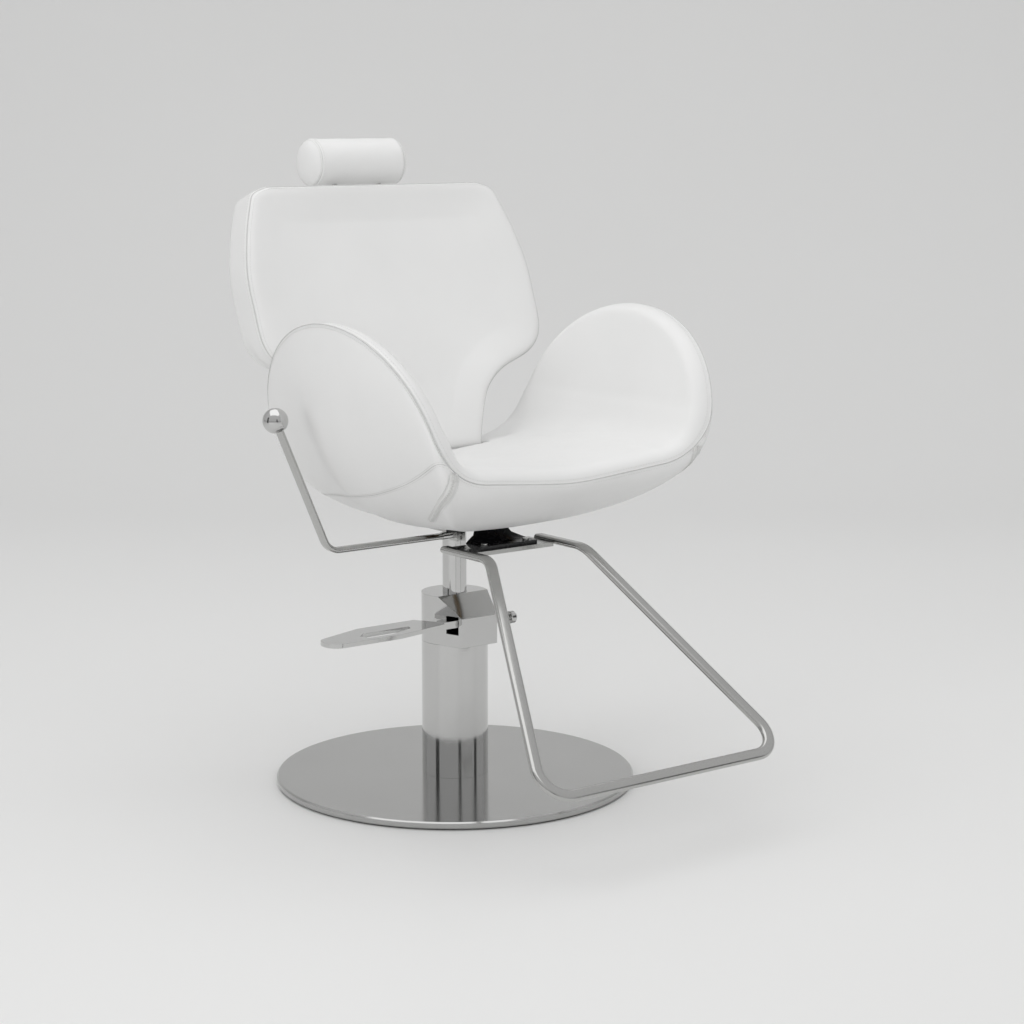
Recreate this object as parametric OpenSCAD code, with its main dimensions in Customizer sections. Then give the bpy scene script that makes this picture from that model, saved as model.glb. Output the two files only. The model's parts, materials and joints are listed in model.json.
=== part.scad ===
// Hydraulic styling chair: disc base, pump column, winged bucket seat,
// reclining back, headrest roll and hanging footrest.
// Millimetres. Origin on the floor at the centre of the disc, +Z up,
// the chair faces -Y, its recline lever and pump pedal are on the -X side.

/* [Base] */
// Diameter of the floor disc
base_d = 600; // [520:10:700]
// Thickness of the steel disc
base_t = 12; // [8:1:16]
// Thickness of the rubber ring under the disc
base_pad_t = 2; // [1:0.5:4]
// Width of the bevel round the disc
base_bevel = 2.5; // [1:0.5:4]

/* [Pump] */
// Outer diameter of the column cover and the round part of the pump head
cover_d = 111; // [107:1:130]
// Wall of the column cover
cover_wall = 1.5; // [1:0.5:2.5]
// Height of the underside of the pump head
head_z = 241; // [220:1:300]
// Height of the pump head
head_h = 81; // [76:1:90]
// Width of the flat nose of the pump head
nose_w = 72; // [66:1:84]
// Distance from the column axis to the nose
nose_reach = 70; // [68:1:76]
// Fall of the sloped top from the round part to the nose
nose_fall = 32; // [15:1:34]
// Diameter of the lifting post
post_d = 40; // [36:1:44]
// Outer diameter of the pump cylinder
cylinder_d = 68; // [64:1:69]
// Wall of the pump cylinder
cylinder_wall = 9; // [7:0.5:10]
// Downward travel of the seat
lift_down = 60; // [30:5:70]
// Upward travel of the seat
lift_up = 90; // [40:5:100]

/* [Pedal] */
// Reach of the pedal tip from the column axis
pedal_reach = 296; // [260:2:300]
// Length of the foot loop
pedal_loop_l = 196; // [160:2:204]
// Width of the foot loop
pedal_loop_w = 79; // [66:1:84]
// Height of the pedal bar
pedal_bar_h = 7; // [6:0.5:9]
// Width of the pedal bar
pedal_bar_w = 13; // [9:0.5:15]

/* [Seat] */
// Height of the underside of the bowl
bowl_z = 442; // [430:2:480]
// Height of the seat's front seam above the underside
lip_rise = 98; // [90:1:115]
// Distance from the column axis forward to the front seam
seat_front = 318; // [280:2:350]
// Distance from the column axis back to the rear seam
seat_rear = 175; // [170:1:200]
// Half width of the seat where the flat and the wing would meet
seat_half_w = 256; // [245:1:290]
// Upward slope of the flat towards the wings, in degrees
seat_slope = 6; // [2:0.5:9]
// Outward lean of the wings from vertical, in degrees
wing_lean = 15; // [8:0.5:22]
// Radius of the bend between the flat and the wing
wing_bend_r = 115; // [90:1:120]
// Length of a wing above its widest line, along the sheet
wing_rise = 201; // [150:1:230]
// Half length of a wing at its widest line
wing_half_l = 234; // [222:1:245]
// Thickness of the outer upholstery
cover_t = 4; // [3:0.5:5]
// Thickness of the moulded seat shell
shell_t = 6; // [5:0.5:8]
// Height of the cushion crown above the seam line
cushion_crown = 15; // [8:1:20]
// Thickness of the wing padding inside the seam line
wing_pad_t = 18; // [10:1:24]

/* [Back] */
// Height of the bottom of the back
back_z = 549; // [545:1:575]
// Distance of the bottom front edge of the back behind the column axis
back_y = 58; // [56:1:75]
// Rearward tilt of the back at rest, in degrees
back_tilt = 20.5; // [15:0.5:25]
// Height of the back along its own plane
back_h = 466; // [420:2:520]
// Widest half width of the back
back_half_w = 285; // [250:1:300]
// Thickness of the back
back_t = 68; // [64:1:76]
// Recline travel of the back from rest, in degrees
recline = 40; // [20:1:40]

/* [Headrest] */
// Diameter of the headrest roll
roll_d = 80; // [60:1:100]
// Length of the headrest roll
roll_l = 194; // [150:2:260]
// Height of the roll's axis above the top of the back at rest
roll_rise = 62; // [60:1:75]
// Upward travel of the headrest
roll_travel = 60; // [20:5:80]
// Diameter of the headrest rods
rod_d = 10; // [8:0.5:12]
// Spacing of the headrest rods
rod_pitch = 90; // [60:2:120]

/* [Footrest] */
// Half spacing of the two upper bars
foot_half_w = 95; // [88:1:110]
// Half width of the footrest at its bottom corners
foot_bottom_half_w = 240; // [200:2:260]
// Forward reach of the upper bars
foot_knee_y = 225; // [200:5:260]
// Forward reach of the bottom bar
foot_reach = 546; // [500:2:580]
// Height of the bottom bar
foot_z = 131; // [120:1:220]
// Height of the upper bars
foot_top_z = 419; // [415:1:420]
// Width of the flat-oval bar
bar_w = 20; // [14:1:24]
// Thickness of the flat-oval bar
bar_t = 10.5; // [8:0.5:12]

/* [Lever] */
// Distance of the lever's bend from the column axis
lever_bend_x = 275; // [262:1:290]
// Distance of the ball from the column axis
lever_ball_x = 368; // [366:1:400]
// Height of the ball's centre
lever_ball_z = 641; // [560:1:680]
// Diameter of the ball
lever_ball_d = 40; // [30:1:42]
// Width of the flat-oval lever bar
lever_w = 17; // [12:1:20]
// Thickness of the flat-oval lever bar
lever_t = 9; // [6:0.5:10]

/* [Hidden] */
$fn = 64;

// Gaps and fits
run_fit = 0.05;      // radial clearance of a running fit
seat_gap = 0.3;      // gap between pieces that only lie close
soft_gap = 0.5;      // gap round a soft piece
overlap = 1;         // how far a cut runs past the face that it cuts

// Colours
chrome = [0.78, 0.78, 0.79];
satin = [0.66, 0.67, 0.68];
dark_steel = [0.25, 0.25, 0.27];
black = [0.06, 0.06, 0.065];
white_leather = [0.93, 0.93, 0.92];
bronze = [0.72, 0.55, 0.3];
plywood = [0.76, 0.62, 0.42];

// Heights of the column stack
disc_top = base_pad_t + base_t;
head_top = head_z + head_h;
foot_t = 12;
cylinder_z0 = disc_top + foot_t;
cylinder_seat = 36;                  // depth of the cylinder's seat in the head
cylinder_top = head_z + cylinder_seat;
cylinder_r = cylinder_d / 2;
bore_r = cylinder_r - cylinder_wall;
post_r = post_d / 2;
bush_r = post_r + 5;
head_lip = 3.4;
seal_h = 4.5;
seal_z0 = head_top - head_lip - seal_h - 0.2;
bush_flange = 3;
foot_flange_r = cover_d / 2 - cover_wall - 1.5;
foot_bolt_pcd_r = (cylinder_r + foot_flange_r) / 2;
foot_bolt_r = 4;
foot_bolt_head_r = (foot_flange_r - cylinder_r) / 2 - 0.4;
foot_bolt_head_h = 5;

// Mounting plate and everything hung from it
plate_t = 5.5;
plate_w = 120;
plate_top = bowl_z - soft_gap;
plate_z = plate_top - plate_t;
plate_bolt = 38;                     // half spacing of the plate's bolts
bolt_r = 4;
bolt_head_r = 7;
bolt_head_h = 5;
piston_h = 16;
piston_neck_r = post_r * 0.65;
piston_z = cylinder_z0 + lift_down + 18;
nut_h = 10;

// Pedal and plunger, worked out from the pump head
slot_z0 = head_z + 21;
slot_z1 = head_z + 51;
slot_y0 = -nose_reach + 7;
slot_y1 = -cylinder_r - 5;
arm_y = (slot_y0 + slot_y1) / 2;
arm_w = slot_y1 - slot_y0 - 2;
arm_h = 12;
pivot_x = 12;
pivot_z = slot_z1 - 11;
pedal_pin_r = 4;
pivot_eye_r = 9;
plunger_x = -12;
plunger_y = -cylinder_r - 11;
plunger_r = 5;
loop_x1 = -(pedal_reach - pedal_loop_l);
loop_y = arm_y + 8.5;
lug_x = loop_x1 + 36;
knob_r = 10.5;
knob_x = 76;
knob_l = 12;
knob_stem_r = 5;
knob_z = head_z + 34;
knob_y = arm_y + 2;
knob_travel = 4;

// The seat sheet: a flat, a bend and a wing line in X and Z, ruled along Y
front_z = bowl_z + lip_rise;
wing_a = 90 - wing_lean;
bend_a = wing_a - seat_slope;
bend_tangent = wing_bend_r * tan(bend_a / 2);
s_flat = seat_half_w / cos(seat_slope) - bend_tangent;
s_bend = s_flat + wing_bend_r * bend_a * PI / 180;
flat_end = [s_flat * cos(seat_slope), front_z + s_flat * sin(seat_slope)];
bend_c = flat_end + wing_bend_r * [-sin(seat_slope), cos(seat_slope)];
s_wide = s_flat + wing_bend_r * 45 * PI / 180;   // where a wing is longest
wing_y = -seat_front - 14 + wing_half_l;          // middle of a wing
rear_drop = 40;
s_crease = s_wide - 30;                           // edge of the seat cushion
cushion_rear = back_y - 10;
cushion_drop = 20;
bowl_c = [0, wing_y + 18, front_z + 100];         // centre the shell is offset towards
ring_a = 80;                                      // half axes of the opening in the bowl
ring_b = 93;
ring_y = -30;
ring_z = bowl_z + 4.6;
// fullness of the bowl at its front, sides and rear
bowl_out = [0.06, 0.065, -0.102];
bowl_down = [0.313, 0.702, 0.668];
bowl_flat = [0.255, 0.427, 0.215];
cover_gap = 2.5;                                  // felt between the shell and its cover

// Seat frame
hub_r = 56;
hub_neck_r = 46;
hub_flange_t = 8;
rail_z = bowl_z + 33;
rail_h = 29;
rail_w = 20;
rail_x = 110;
rail_y0 = -112;
rail_y1 = 88;
cross_t = 6;
cross_w = 60;
front_cross_y = -101;
front_cross_w = 26;
board_z = bowl_z + 62;
board_t = 15;

// Back hinge: behind and level with the bottom of the back
hinge_k = back_t - 11;
hinge_r = 8;
hinge_eye_r = 14;
u_axis = [0, sin(back_tilt), cos(back_tilt)];
k_axis = [0, cos(back_tilt), -sin(back_tilt)];
hinge = [0, back_y, back_z] + hinge_k * k_axis;
bracket_t = 6;
stem_half_w = 0.355 * back_half_w;
bracket_x = rail_x;
hinge_end = bracket_x - bracket_t / 2 - 1;
bush_l = 20;
crank_l = 40;
crank_rest = recline / 2;
crank_pin = hinge + crank_l * [0, sin(crank_rest), -cos(crank_rest)];
crank_pin_r = 4;
gas_r = 10;
gas_rod_r = 4;
gas_eye_r = 8;
gas_front_y = front_cross_y + 4;
gas_end_y = 40;

// Layers of the back, measured from its front plane
pad_k = back_t - 35;
board_k0 = pad_k + soft_gap;
back_board_t = 12;
arm_k0 = board_k0 + back_board_t + seat_gap;
back_arm_t = 6;
cover_k0 = back_t - 4;
cover_from = 24;
rod_k = back_t - 12;

// Headrest
roll_h = back_h + roll_rise;
rod_bottom_h = back_h - 130;
rod_r = rod_d / 2;
guide_r = rod_r + 2.5;

// Footrest
foot_plate_t = 7;
foot_plate_z1 = foot_top_z - 0.5;
foot_plate_y0 = -158;
foot_plate_y1 = -92;
foot_rear_y = -106;
bracket_flange_w = 114;
bracket_neck_w = 60;
bracket_th = 6;
bracket_r = 26;
bracket_front_y = -150;
flange_screw_x = 42;
stem_screw_x = 24;
bracket_edge = [[bracket_flange_w / 2, foot_plate_z1 - 1], [bracket_flange_w / 2, foot_plate_z1 + bracket_th],
    [bracket_neck_w / 2 + 6, foot_plate_z1 + bracket_th + 10], [bracket_neck_w / 2, foot_plate_z1 + 26],
    [bracket_neck_w / 2, rail_z + 1]];
screw_r = 3;
screw_head_r = 5.5;
screw_head_h = 3;

// Lever
lever_y = -40;
lever_z = plate_z - 9.5;
lever_bend_r = 30;
shaft_r = 6;
shaft_x0 = -56;
shaft_x1 = -14;
cheek_x = [-32, -21];

// ---- helpers ----

// Closed skin over a list of rings; wrap joins the last ring to the first
module skin(rings, wrap = false) {
    m = len(rings);
    n = len(rings[0]);
    pts = [for (r = rings) each r];
    sides = [for (i = [0 : wrap ? m - 1 : m - 2], j = [0 : n - 1])
        let (a = i * n + j, b = i * n + (j + 1) % n, c = ((i + 1) % m) * n + (j + 1) % n,
             d = ((i + 1) % m) * n + j)
        each [[a, b, c], [a, c, d]]];
    caps = wrap ? [] : [[for (j = [n - 1 : -1 : 0]) j], [for (j = [0 : n - 1]) (m - 1) * n + j]];
    polyhedron(concat(sides, caps) == [] ? [] : pts, concat(sides, caps));
}

function unit(v) = v / norm(v);
function bezier(p, t) = pow(1 - t, 3) * p[0] + 3 * pow(1 - t, 2) * t * p[1]
    + 3 * (1 - t) * t * t * p[2] + pow(t, 3) * p[3];

// Points of a polyline whose inner corners are rounded
function rounded(p, r, n = 6) = concat([p[0]], [for (i = [1 : len(p) - 2])
    let (a = unit(p[i - 1] - p[i]), b = unit(p[i + 1] - p[i]),
         half = acos(a * b) / 2, cut = r / tan(half),
         mid = unit(a + b), c = p[i] + mid * r / sin(half), sweep = 90 - half,
         e = -mid, f = unit(b - (b * mid) * mid))
    for (k = [0 : n]) let (w = sweep * (2 * k / n - 1)) c + r * (cos(w) * e + sin(w) * f)],
    [p[len(p) - 1]]);

// Flat-oval section, wide along x
function oval(w, t, n = 6) = concat(
    [for (k = [0 : n]) let (a = -90 + 180 * k / n) [w / 2 - t / 2 + t / 2 * cos(a), t / 2 * sin(a)]],
    [for (k = [0 : n]) let (a = 90 + 180 * k / n) [-w / 2 + t / 2 + t / 2 * cos(a), t / 2 * sin(a)]]);

// Sweep of a section along a path; thin[i] is the direction of its thin side
module sweep(path, section, thin) {
    m = len(path);
    tangent = [for (i = [0 : m - 1]) unit(path[min(i + 1, m - 1)] - path[max(i - 1, 0)])];
    skin([for (i = [0 : m - 1])
        let (t = tangent[i], v = unit(thin[i] - (thin[i] * t) * t), u = cross(v, t))
        [for (q = section) path[i] + q[0] * u + q[1] * v]]);
}

// A curve through control points
function curve_at(p, i, t) = let (n = len(p), a = p[max(i - 1, 0)], b = p[i], c = p[i + 1],
    d = p[min(i + 2, n - 1)])
    0.5 * (2 * b + (c - a) * t + (2 * a - 5 * b + 4 * c - d) * t * t
    + (3 * b - a - 3 * c + d) * t * t * t);
function curve(p, n = 4) = concat([for (i = [0 : len(p) - 2], k = [0 : n - 1]) curve_at(p, i, k / n)],
    [p[len(p) - 1]]);

// ---- seat sheet ----

function sheet_a(s) = s < s_flat ? seat_slope
    : s < s_bend ? seat_slope + (s - s_flat) / wing_bend_r * 180 / PI : wing_a;
function sheet_xz(s) = s < s_flat ? [s * cos(seat_slope), front_z + s * sin(seat_slope)]
    : s < s_bend ? bend_c + wing_bend_r * [sin(sheet_a(s)), -cos(sheet_a(s))]
    : bend_c + wing_bend_r * [sin(wing_a), -cos(wing_a)] + (s - s_bend) * [cos(wing_a), sin(wing_a)];
function ease(t) = let (c = max(0, min(1, t))) c * c * (3 - 2 * c);
function sheet_drop(s, y) = rear_drop * ease((y - 50) / (seat_rear - 50))
    * (1 - pow(min(1, abs(s) / s_wide), 2));
// Point of the sheet at arc length s and depth y, raised n towards the sitter
function sheet(s, y, n) = let (q = sheet_xz(abs(s)), a = sheet_a(abs(s)), g = s < 0 ? -1 : 1)
    [g * (q[0] - n * sin(a)), y, q[1] + n * cos(a) - sheet_drop(s, y)];

// The seam that bounds the sheet, as [s, y], from the front centre to the rear centre
rim_n = 7;
wing_n = 14;
rim_half = concat(
    [for (i = [0 : rim_n - 1]) let (t = i / rim_n) [s_wide * t, -seat_front - 14 * t * t]],
    [for (i = [0 : wing_n]) let (a = 180 * i / wing_n)
        [s_wide + wing_rise * sin(a), wing_y - wing_half_l * cos(a)]],
    [for (i = [1 : rim_n]) let (t = 1 - i / rim_n)
        [s_wide * t, seat_rear - (seat_rear - wing_y - wing_half_l) * t * t]]);
rim = concat(rim_half, [for (i = [len(rim_half) - 2 : -1 : 1]) [-rim_half[i][0], rim_half[i][1]]]);

function out_dir(p) = let (x = p[0] / 300, y = (p[1] - wing_y - 18) / 260)
    unit([x * x * x / 300, y * y * y / 260, 0]);
// A value that is f at the front, s at the sides and r at the rear of the bowl
function around(a, w) = let (f = pow(max(0, cos(a)), 2), r = max(0, -cos(a)))
    w[0] * f + w[1] * (1 - f - r) + w[2] * r;
// Outer surface of the bowl: v is 0 at the seam and 1 at the opening
function bowl(q, v) = let (r = sheet(q[0], q[1], 0), a = atan2(r[0], -(r[1] - ring_y)),
    b = [ring_a * sin(a), ring_y - ring_b * cos(a), ring_z], h = r[2] - ring_z,
    out = around(a, bowl_out), down = around(a, bowl_down), flat = around(a, bowl_flat))
    bezier([r, r + out * h * out_dir(r) - [0, 0, down * h],
        [b[0] + flat * (r[0] - b[0]), b[1] + flat * (r[1] - b[1]), ring_z], b], v);
function bowl_in(q, v, d) = let (p = bowl(q, v)) p - d * unit(p - bowl_c);

// ---- base and pump ----

module base_pad() {
    color(black) cylinder(r = base_d / 2 - 6, h = base_pad_t, $fn = 128);
}

module base_disc() {
    r = base_d / 2;
    color(chrome) difference() {
        rotate_extrude($fn = 160) polygon([[0, base_pad_t], [r - base_bevel, base_pad_t],
            [r, base_pad_t + base_bevel], [r, disc_top - base_bevel], [r - base_bevel, disc_top],
            [0, disc_top]]);
        for (a = [45 : 90 : 315]) rotate(a) translate([foot_bolt_pcd_r, 0, -overlap])
            cylinder(r = foot_bolt_r + run_fit, h = disc_top + 2 * overlap);
    }
}

module column_cover() {
    color(chrome) difference() {
        translate([0, 0, disc_top]) cylinder(d = cover_d, h = head_z - disc_top, $fn = 128);
        translate([0, 0, disc_top - overlap])
            cylinder(d = cover_d - 2 * cover_wall, h = head_z - disc_top + 2 * overlap, $fn = 128);
    }
}

module pump_foot() {
    color(dark_steel) difference() {
        translate([0, 0, disc_top]) cylinder(r = foot_flange_r, h = foot_t);
        for (a = [45 : 90 : 315]) rotate(a) translate([foot_bolt_pcd_r, 0, disc_top - overlap])
            cylinder(r = foot_bolt_r + run_fit, h = foot_t + 2 * overlap);
    }
}

module foot_bolts() {
    color(dark_steel) for (a = [45 : 90 : 315]) rotate(a) translate([foot_bolt_pcd_r, 0, 0]) {
        translate([0, 0, base_pad_t + 1])
            cylinder(r = foot_bolt_r, h = disc_top + foot_t - base_pad_t - 1);
        translate([0, 0, cylinder_z0]) cylinder(r = foot_bolt_head_r, h = foot_bolt_head_h);
    }
}

module pump_cylinder() {
    color(satin) difference() {
        translate([0, 0, cylinder_z0]) cylinder(r = cylinder_r, h = cylinder_top - cylinder_z0);
        translate([0, 0, cylinder_z0 + 6])
            cylinder(r = bore_r, h = cylinder_top - cylinder_z0 - 6 + overlap);
    }
}

// Plan of the pump head: a round with a nose whose sides are tangent to it
module head_plan() {
    r = cover_d / 2;
    d = norm([nose_w / 2, nose_reach]);
    a = atan2(-nose_reach, nose_w / 2) + acos(r / d);
    polygon(concat([for (k = [0 : 48]) let (t = a + (180 - 2 * a) * k / 48) r * [cos(t), sin(t)]],
        [[-nose_w / 2, -nose_reach], [nose_w / 2, -nose_reach]]));
}

module pump_head() {
    slope_y = -post_r - 3;
    slope_a = atan(nose_fall / (nose_reach + slope_y));
    color(chrome) difference() {
        translate([0, 0, head_z]) linear_extrude(head_h) head_plan();
        // sloped top of the nose
        translate([0, slope_y, head_top]) rotate([slope_a, 0, 0])
            translate([-cover_d, -2 * nose_reach, 0]) cube([2 * cover_d, 2 * nose_reach, head_h]);
        // seat of the cylinder, bore of the bush and the seal
        translate([0, 0, head_z - overlap])
            cylinder(r = cylinder_r + 0.1, h = cylinder_seat + overlap + 0.2);
        translate([0, 0, head_z]) cylinder(r = bush_r + run_fit, h = head_h - head_lip);
        translate([0, 0, head_z]) cylinder(r = post_r + 2 * run_fit, h = head_h + overlap);
        // pocket of the pedal arm, open to the left
        translate([-cover_d, slot_y0, slot_z0])
            cube([cover_d + pivot_x + 14, slot_y1 - slot_y0, slot_z1 - slot_z0]);
        translate([pivot_x, slot_y0 - 4, pivot_z]) rotate([-90, 0, 0])
            cylinder(r = pedal_pin_r, h = slot_y1 - slot_y0 + 8);
        translate([plunger_x, plunger_y, head_z - overlap])
            cylinder(r = plunger_r + run_fit, h = slot_z0 - head_z + 2 * overlap);
        // bore of the lock stem, from the right face into the pocket's end wall
        translate([pivot_x + 20, knob_y, knob_z]) rotate([0, 90, 0])
            cylinder(r = knob_stem_r + run_fit, h = cover_d);
    }
}

module guide_bush() {
    color(bronze) difference() {
        translate([0, 0, cylinder_top + 0.4]) cylinder(r = bush_r, h = seal_z0 - cylinder_top - 0.6);
        translate([0, 0, cylinder_top - overlap]) cylinder(r = post_r + run_fit, h = head_h);
    }
}

module wiper_seal() {
    color(black) difference() {
        translate([0, 0, seal_z0]) cylinder(r = bush_r - 0.4, h = seal_h);
        translate([0, 0, seal_z0 - overlap]) cylinder(r = post_r + run_fit, h = seal_h + 2 * overlap);
    }
}

// ---- pedal, plunger and lock ----

module pedal_pin() {
    color(satin) translate([pivot_x, slot_y0 - 3.8, pivot_z]) rotate([-90, 0, 0])
        cylinder(r = pedal_pin_r, h = slot_y1 - slot_y0 + 7.6);
}

module pedal_lever() {
    color(chrome) {
        // arm with its pivot eye
        difference() {
            union() {
                translate([lug_x - 2, arm_y - arm_w / 2, pivot_z - arm_h / 2])
                    cube([pivot_x - lug_x + 2, arm_w, arm_h]);
                translate([pivot_x, arm_y - arm_w / 2, pivot_z]) rotate([-90, 0, 0])
                    cylinder(r = pivot_eye_r, h = arm_w);
            }
            translate([pivot_x, arm_y - arm_w, pivot_z]) rotate([-90, 0, 0])
                cylinder(r = pedal_pin_r + run_fit, h = 2 * arm_w);
        }
        // foot loop
        translate([0, 0, pivot_z - pedal_bar_h / 2]) linear_extrude(pedal_bar_h) difference() {
            pedal_plan();
            pedal_gap();
        }
    }
}

// Outline of the foot loop: a straight far rail, a rounded tip, a near rail and a link to the arm
module pedal_plan() {
    w = pedal_loop_w / 2;
    x0 = -pedal_reach;
    tip = 0.42 * w;
    polygon(concat([[lug_x, arm_y + arm_w / 2], [loop_x1 + 14, loop_y + w],
        [x0 + 0.5 * pedal_loop_l, loop_y + w]],
        [for (a = [75 : -25 : -75]) [x0 + tip - tip * cos(a), loop_y - 0.35 * w + 0.62 * w * sin(a)]],
        [[x0 + 0.12 * pedal_loop_l, loop_y - w], [x0 + 0.66 * pedal_loop_l, loop_y - w],
        [lug_x, arm_y - arm_w / 2]]));
}

// The opening of the foot loop
module pedal_gap() {
    w = pedal_loop_w / 2 - pedal_bar_w;
    x0 = -pedal_reach + 0.36 * pedal_loop_l;
    polygon([[loop_x1 - 22, loop_y + 0.1 * w], [x0 + 14, loop_y + 0.1 * w], [x0, loop_y - 0.4 * w],
        [x0 + 6, loop_y - w], [-pedal_reach + 0.64 * pedal_loop_l, loop_y - w],
        [loop_x1 - 26, loop_y - 0.35 * w]]);
}

module pump_plunger() {
    top = pivot_z - arm_h / 2 - soft_gap - 0.5;
    color(satin) {
        translate([plunger_x, plunger_y, head_z - 10]) cylinder(r = plunger_r, h = top - 3 - head_z + 10);
        translate([plunger_x, plunger_y, top - 3]) cylinder(r1 = plunger_r, r2 = 2, h = 3);
    }
}

module lock_stem() {
    color(satin) translate([pivot_x + 26, knob_y, knob_z]) rotate([0, 90, 0])
        cylinder(r = knob_stem_r, h = knob_x - pivot_x - 26);
}

module lock_knob() {
    color(chrome) translate([knob_x, knob_y, knob_z]) rotate([0, 90, 0]) rotate_extrude()
        polygon([[0, 0], [knob_r - 1, 0], [knob_r, 1], [knob_r, knob_l - 3], [knob_r - 2.5, knob_l],
            [0, knob_l]]);
}

// ---- lifting post ----

module piston() {
    color(satin) difference() {
        translate([0, 0, piston_z]) cylinder(r = bore_r - run_fit, h = piston_h);
        translate([0, 0, piston_z - overlap])
            cylinder(r = piston_neck_r + run_fit, h = piston_h + 2 * overlap);
    }
}

module piston_nut() {
    color(dark_steel) difference() {
        translate([0, 0, piston_z - nut_h - seat_gap]) cylinder(r = post_r - 2, h = nut_h);
        translate([0, 0, piston_z - nut_h - seat_gap - overlap])
            cylinder(r = piston_neck_r - 3, h = nut_h + 2 * overlap);
    }
}

module lift_post() {
    shoulder = piston_z + piston_h + seat_gap;
    color(chrome) {
        translate([0, 0, shoulder]) cylinder(r = post_r, h = plate_z - shoulder);
        translate([0, 0, piston_z - seat_gap])
            cylinder(r = piston_neck_r, h = shoulder - piston_z + seat_gap);
        translate([0, 0, piston_z - seat_gap - nut_h]) cylinder(r = piston_neck_r - 3, h = nut_h);
    }
}

module mount_plate() {
    color(satin) difference() {
        translate([-plate_w / 2, -plate_w / 2, plate_z]) cube([plate_w, plate_w, plate_t]);
        for (x = [-1, 1], y = [-1, 1]) translate([x * plate_bolt, y * plate_bolt, plate_z - overlap])
            cylinder(r = bolt_r + 0.2, h = plate_t + 2 * overlap);
    }
}

module mount_bolts() {
    color(dark_steel) for (x = [-1, 1], y = [-1, 1]) translate([x * plate_bolt, y * plate_bolt, 0]) {
        translate([0, 0, plate_z - bolt_head_h + 2]) cylinder(r = bolt_head_r - 2, h = bolt_head_h - 2);
        translate([0, 0, plate_z]) cylinder(r = bolt_r, h = plate_t + 14);
    }
}

// ---- seat ----

module seat_hub() {
    color(dark_steel) difference() {
        union() {
            translate([0, 0, plate_top]) cylinder(r = hub_r, h = hub_flange_t);
            translate([0, 0, plate_top]) cylinder(r = hub_neck_r, h = rail_z - plate_top);
        }
        for (x = [-1, 1], y = [-1, 1]) translate([x * plate_bolt, y * plate_bolt, plate_top - overlap])
            cylinder(r = bolt_r + run_fit, h = 16 + overlap);
        for (x = [-1, 1]) translate([x * 30, 0, rail_z - 14]) cylinder(r = bolt_r + run_fit, h = 20);
    }
}

module seat_frame() {
    color(dark_steel) difference() {
        union() {
            for (x = [-1, 1]) translate([x * rail_x - rail_w / 2, rail_y0, rail_z])
                cube([rail_w, rail_y1 - rail_y0, rail_h]);
            for (c = [[0, cross_w], [front_cross_y, front_cross_w]])
                translate([-rail_x, c[0] - c[1] / 2, rail_z]) cube([2 * rail_x, c[1], cross_t]);
            // ears that hold the front end of the gas spring
            for (x = [-1, 1]) translate([x * (gas_r + 4) - 3, gas_front_y - 8, rail_z])
                cube([6, 16, crank_pin[2] - rail_z + 8]);
        }
        for (x = [-1, 1]) translate([x * 30, 0, rail_z - overlap]) cylinder(r = bolt_r + 0.2, h = 20);
        for (x = [-1, 1]) translate([x * stem_screw_x, front_cross_y + 8, rail_z - overlap])
            cylinder(r = screw_r + run_fit, h = 20);
        translate([-40, gas_front_y, crank_pin[2]]) rotate([0, 90, 0]) cylinder(r = crank_pin_r, h = 80);
    }
}

module frame_bolts() {
    color(satin) for (x = [-1, 1]) translate([x * 30, 0, 0]) {
        translate([0, 0, rail_z - 12]) cylinder(r = bolt_r, h = 12 + cross_t);
        translate([0, 0, rail_z + cross_t]) cylinder(r = bolt_head_r, h = bolt_head_h);
    }
}

module seat_cover() {
    steps = [0, 0.06, 0.16, 0.3, 0.46, 0.62, 0.8, 1];
    color(white_leather) skin(concat(
        [for (v = steps) [for (q = rim) bowl(q, v)]],
        [for (i = [len(steps) - 1 : -1 : 0]) [for (q = rim)
            bowl_in(q, steps[i], min(cover_t, 0.8 + 12 * steps[i]))]]), wrap = true);
}

module seat_shell() {
    steps = [0.3, 0.46, 0.62, 0.8, 1];
    d0 = cover_t + cover_gap;
    color(plywood) skin(concat(
        [for (v = steps) [for (q = rim) bowl_in(q, v, d0)]],
        [for (i = [len(steps) - 1 : -1 : 0]) [for (q = rim) bowl_in(q, steps[i], d0 + shell_t)]]),
        wrap = true);
}

module cushion_board() {
    color(plywood) translate([-150, rail_y0 - 60, board_z])
        cube([300, cushion_rear - rail_y0 + 38, board_t]);
}

// Height of the crown near the front edge, rounded down to the seam
function front_round(y, t) = let (d = min(1, (y + seat_front) / 34))
    t * sqrt(max(0, 1 - (1 - d) * (1 - d)));

module seat_cushion() {
    ys = concat([for (k = [0 : 4]) -seat_front + 3 + 32 * (1 - cos(22.5 * k))],
        [-240, -160, -80, 0, cushion_rear]);
    ss = [for (k = [-8 : 8]) s_crease * k / 8];
    color(white_leather) skin([for (y = ys) concat(
        [for (s = ss) sheet(s, y, 1 + front_round(y, cushion_crown))],
        [for (i = [len(ss) - 1 : -1 : 0])
            sheet(ss[i], y, -2 - (cushion_drop - 2) * ease((y + seat_front) / 130)
                * (1 - pow(ss[i] / s_crease, 4)))])]);
}

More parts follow.
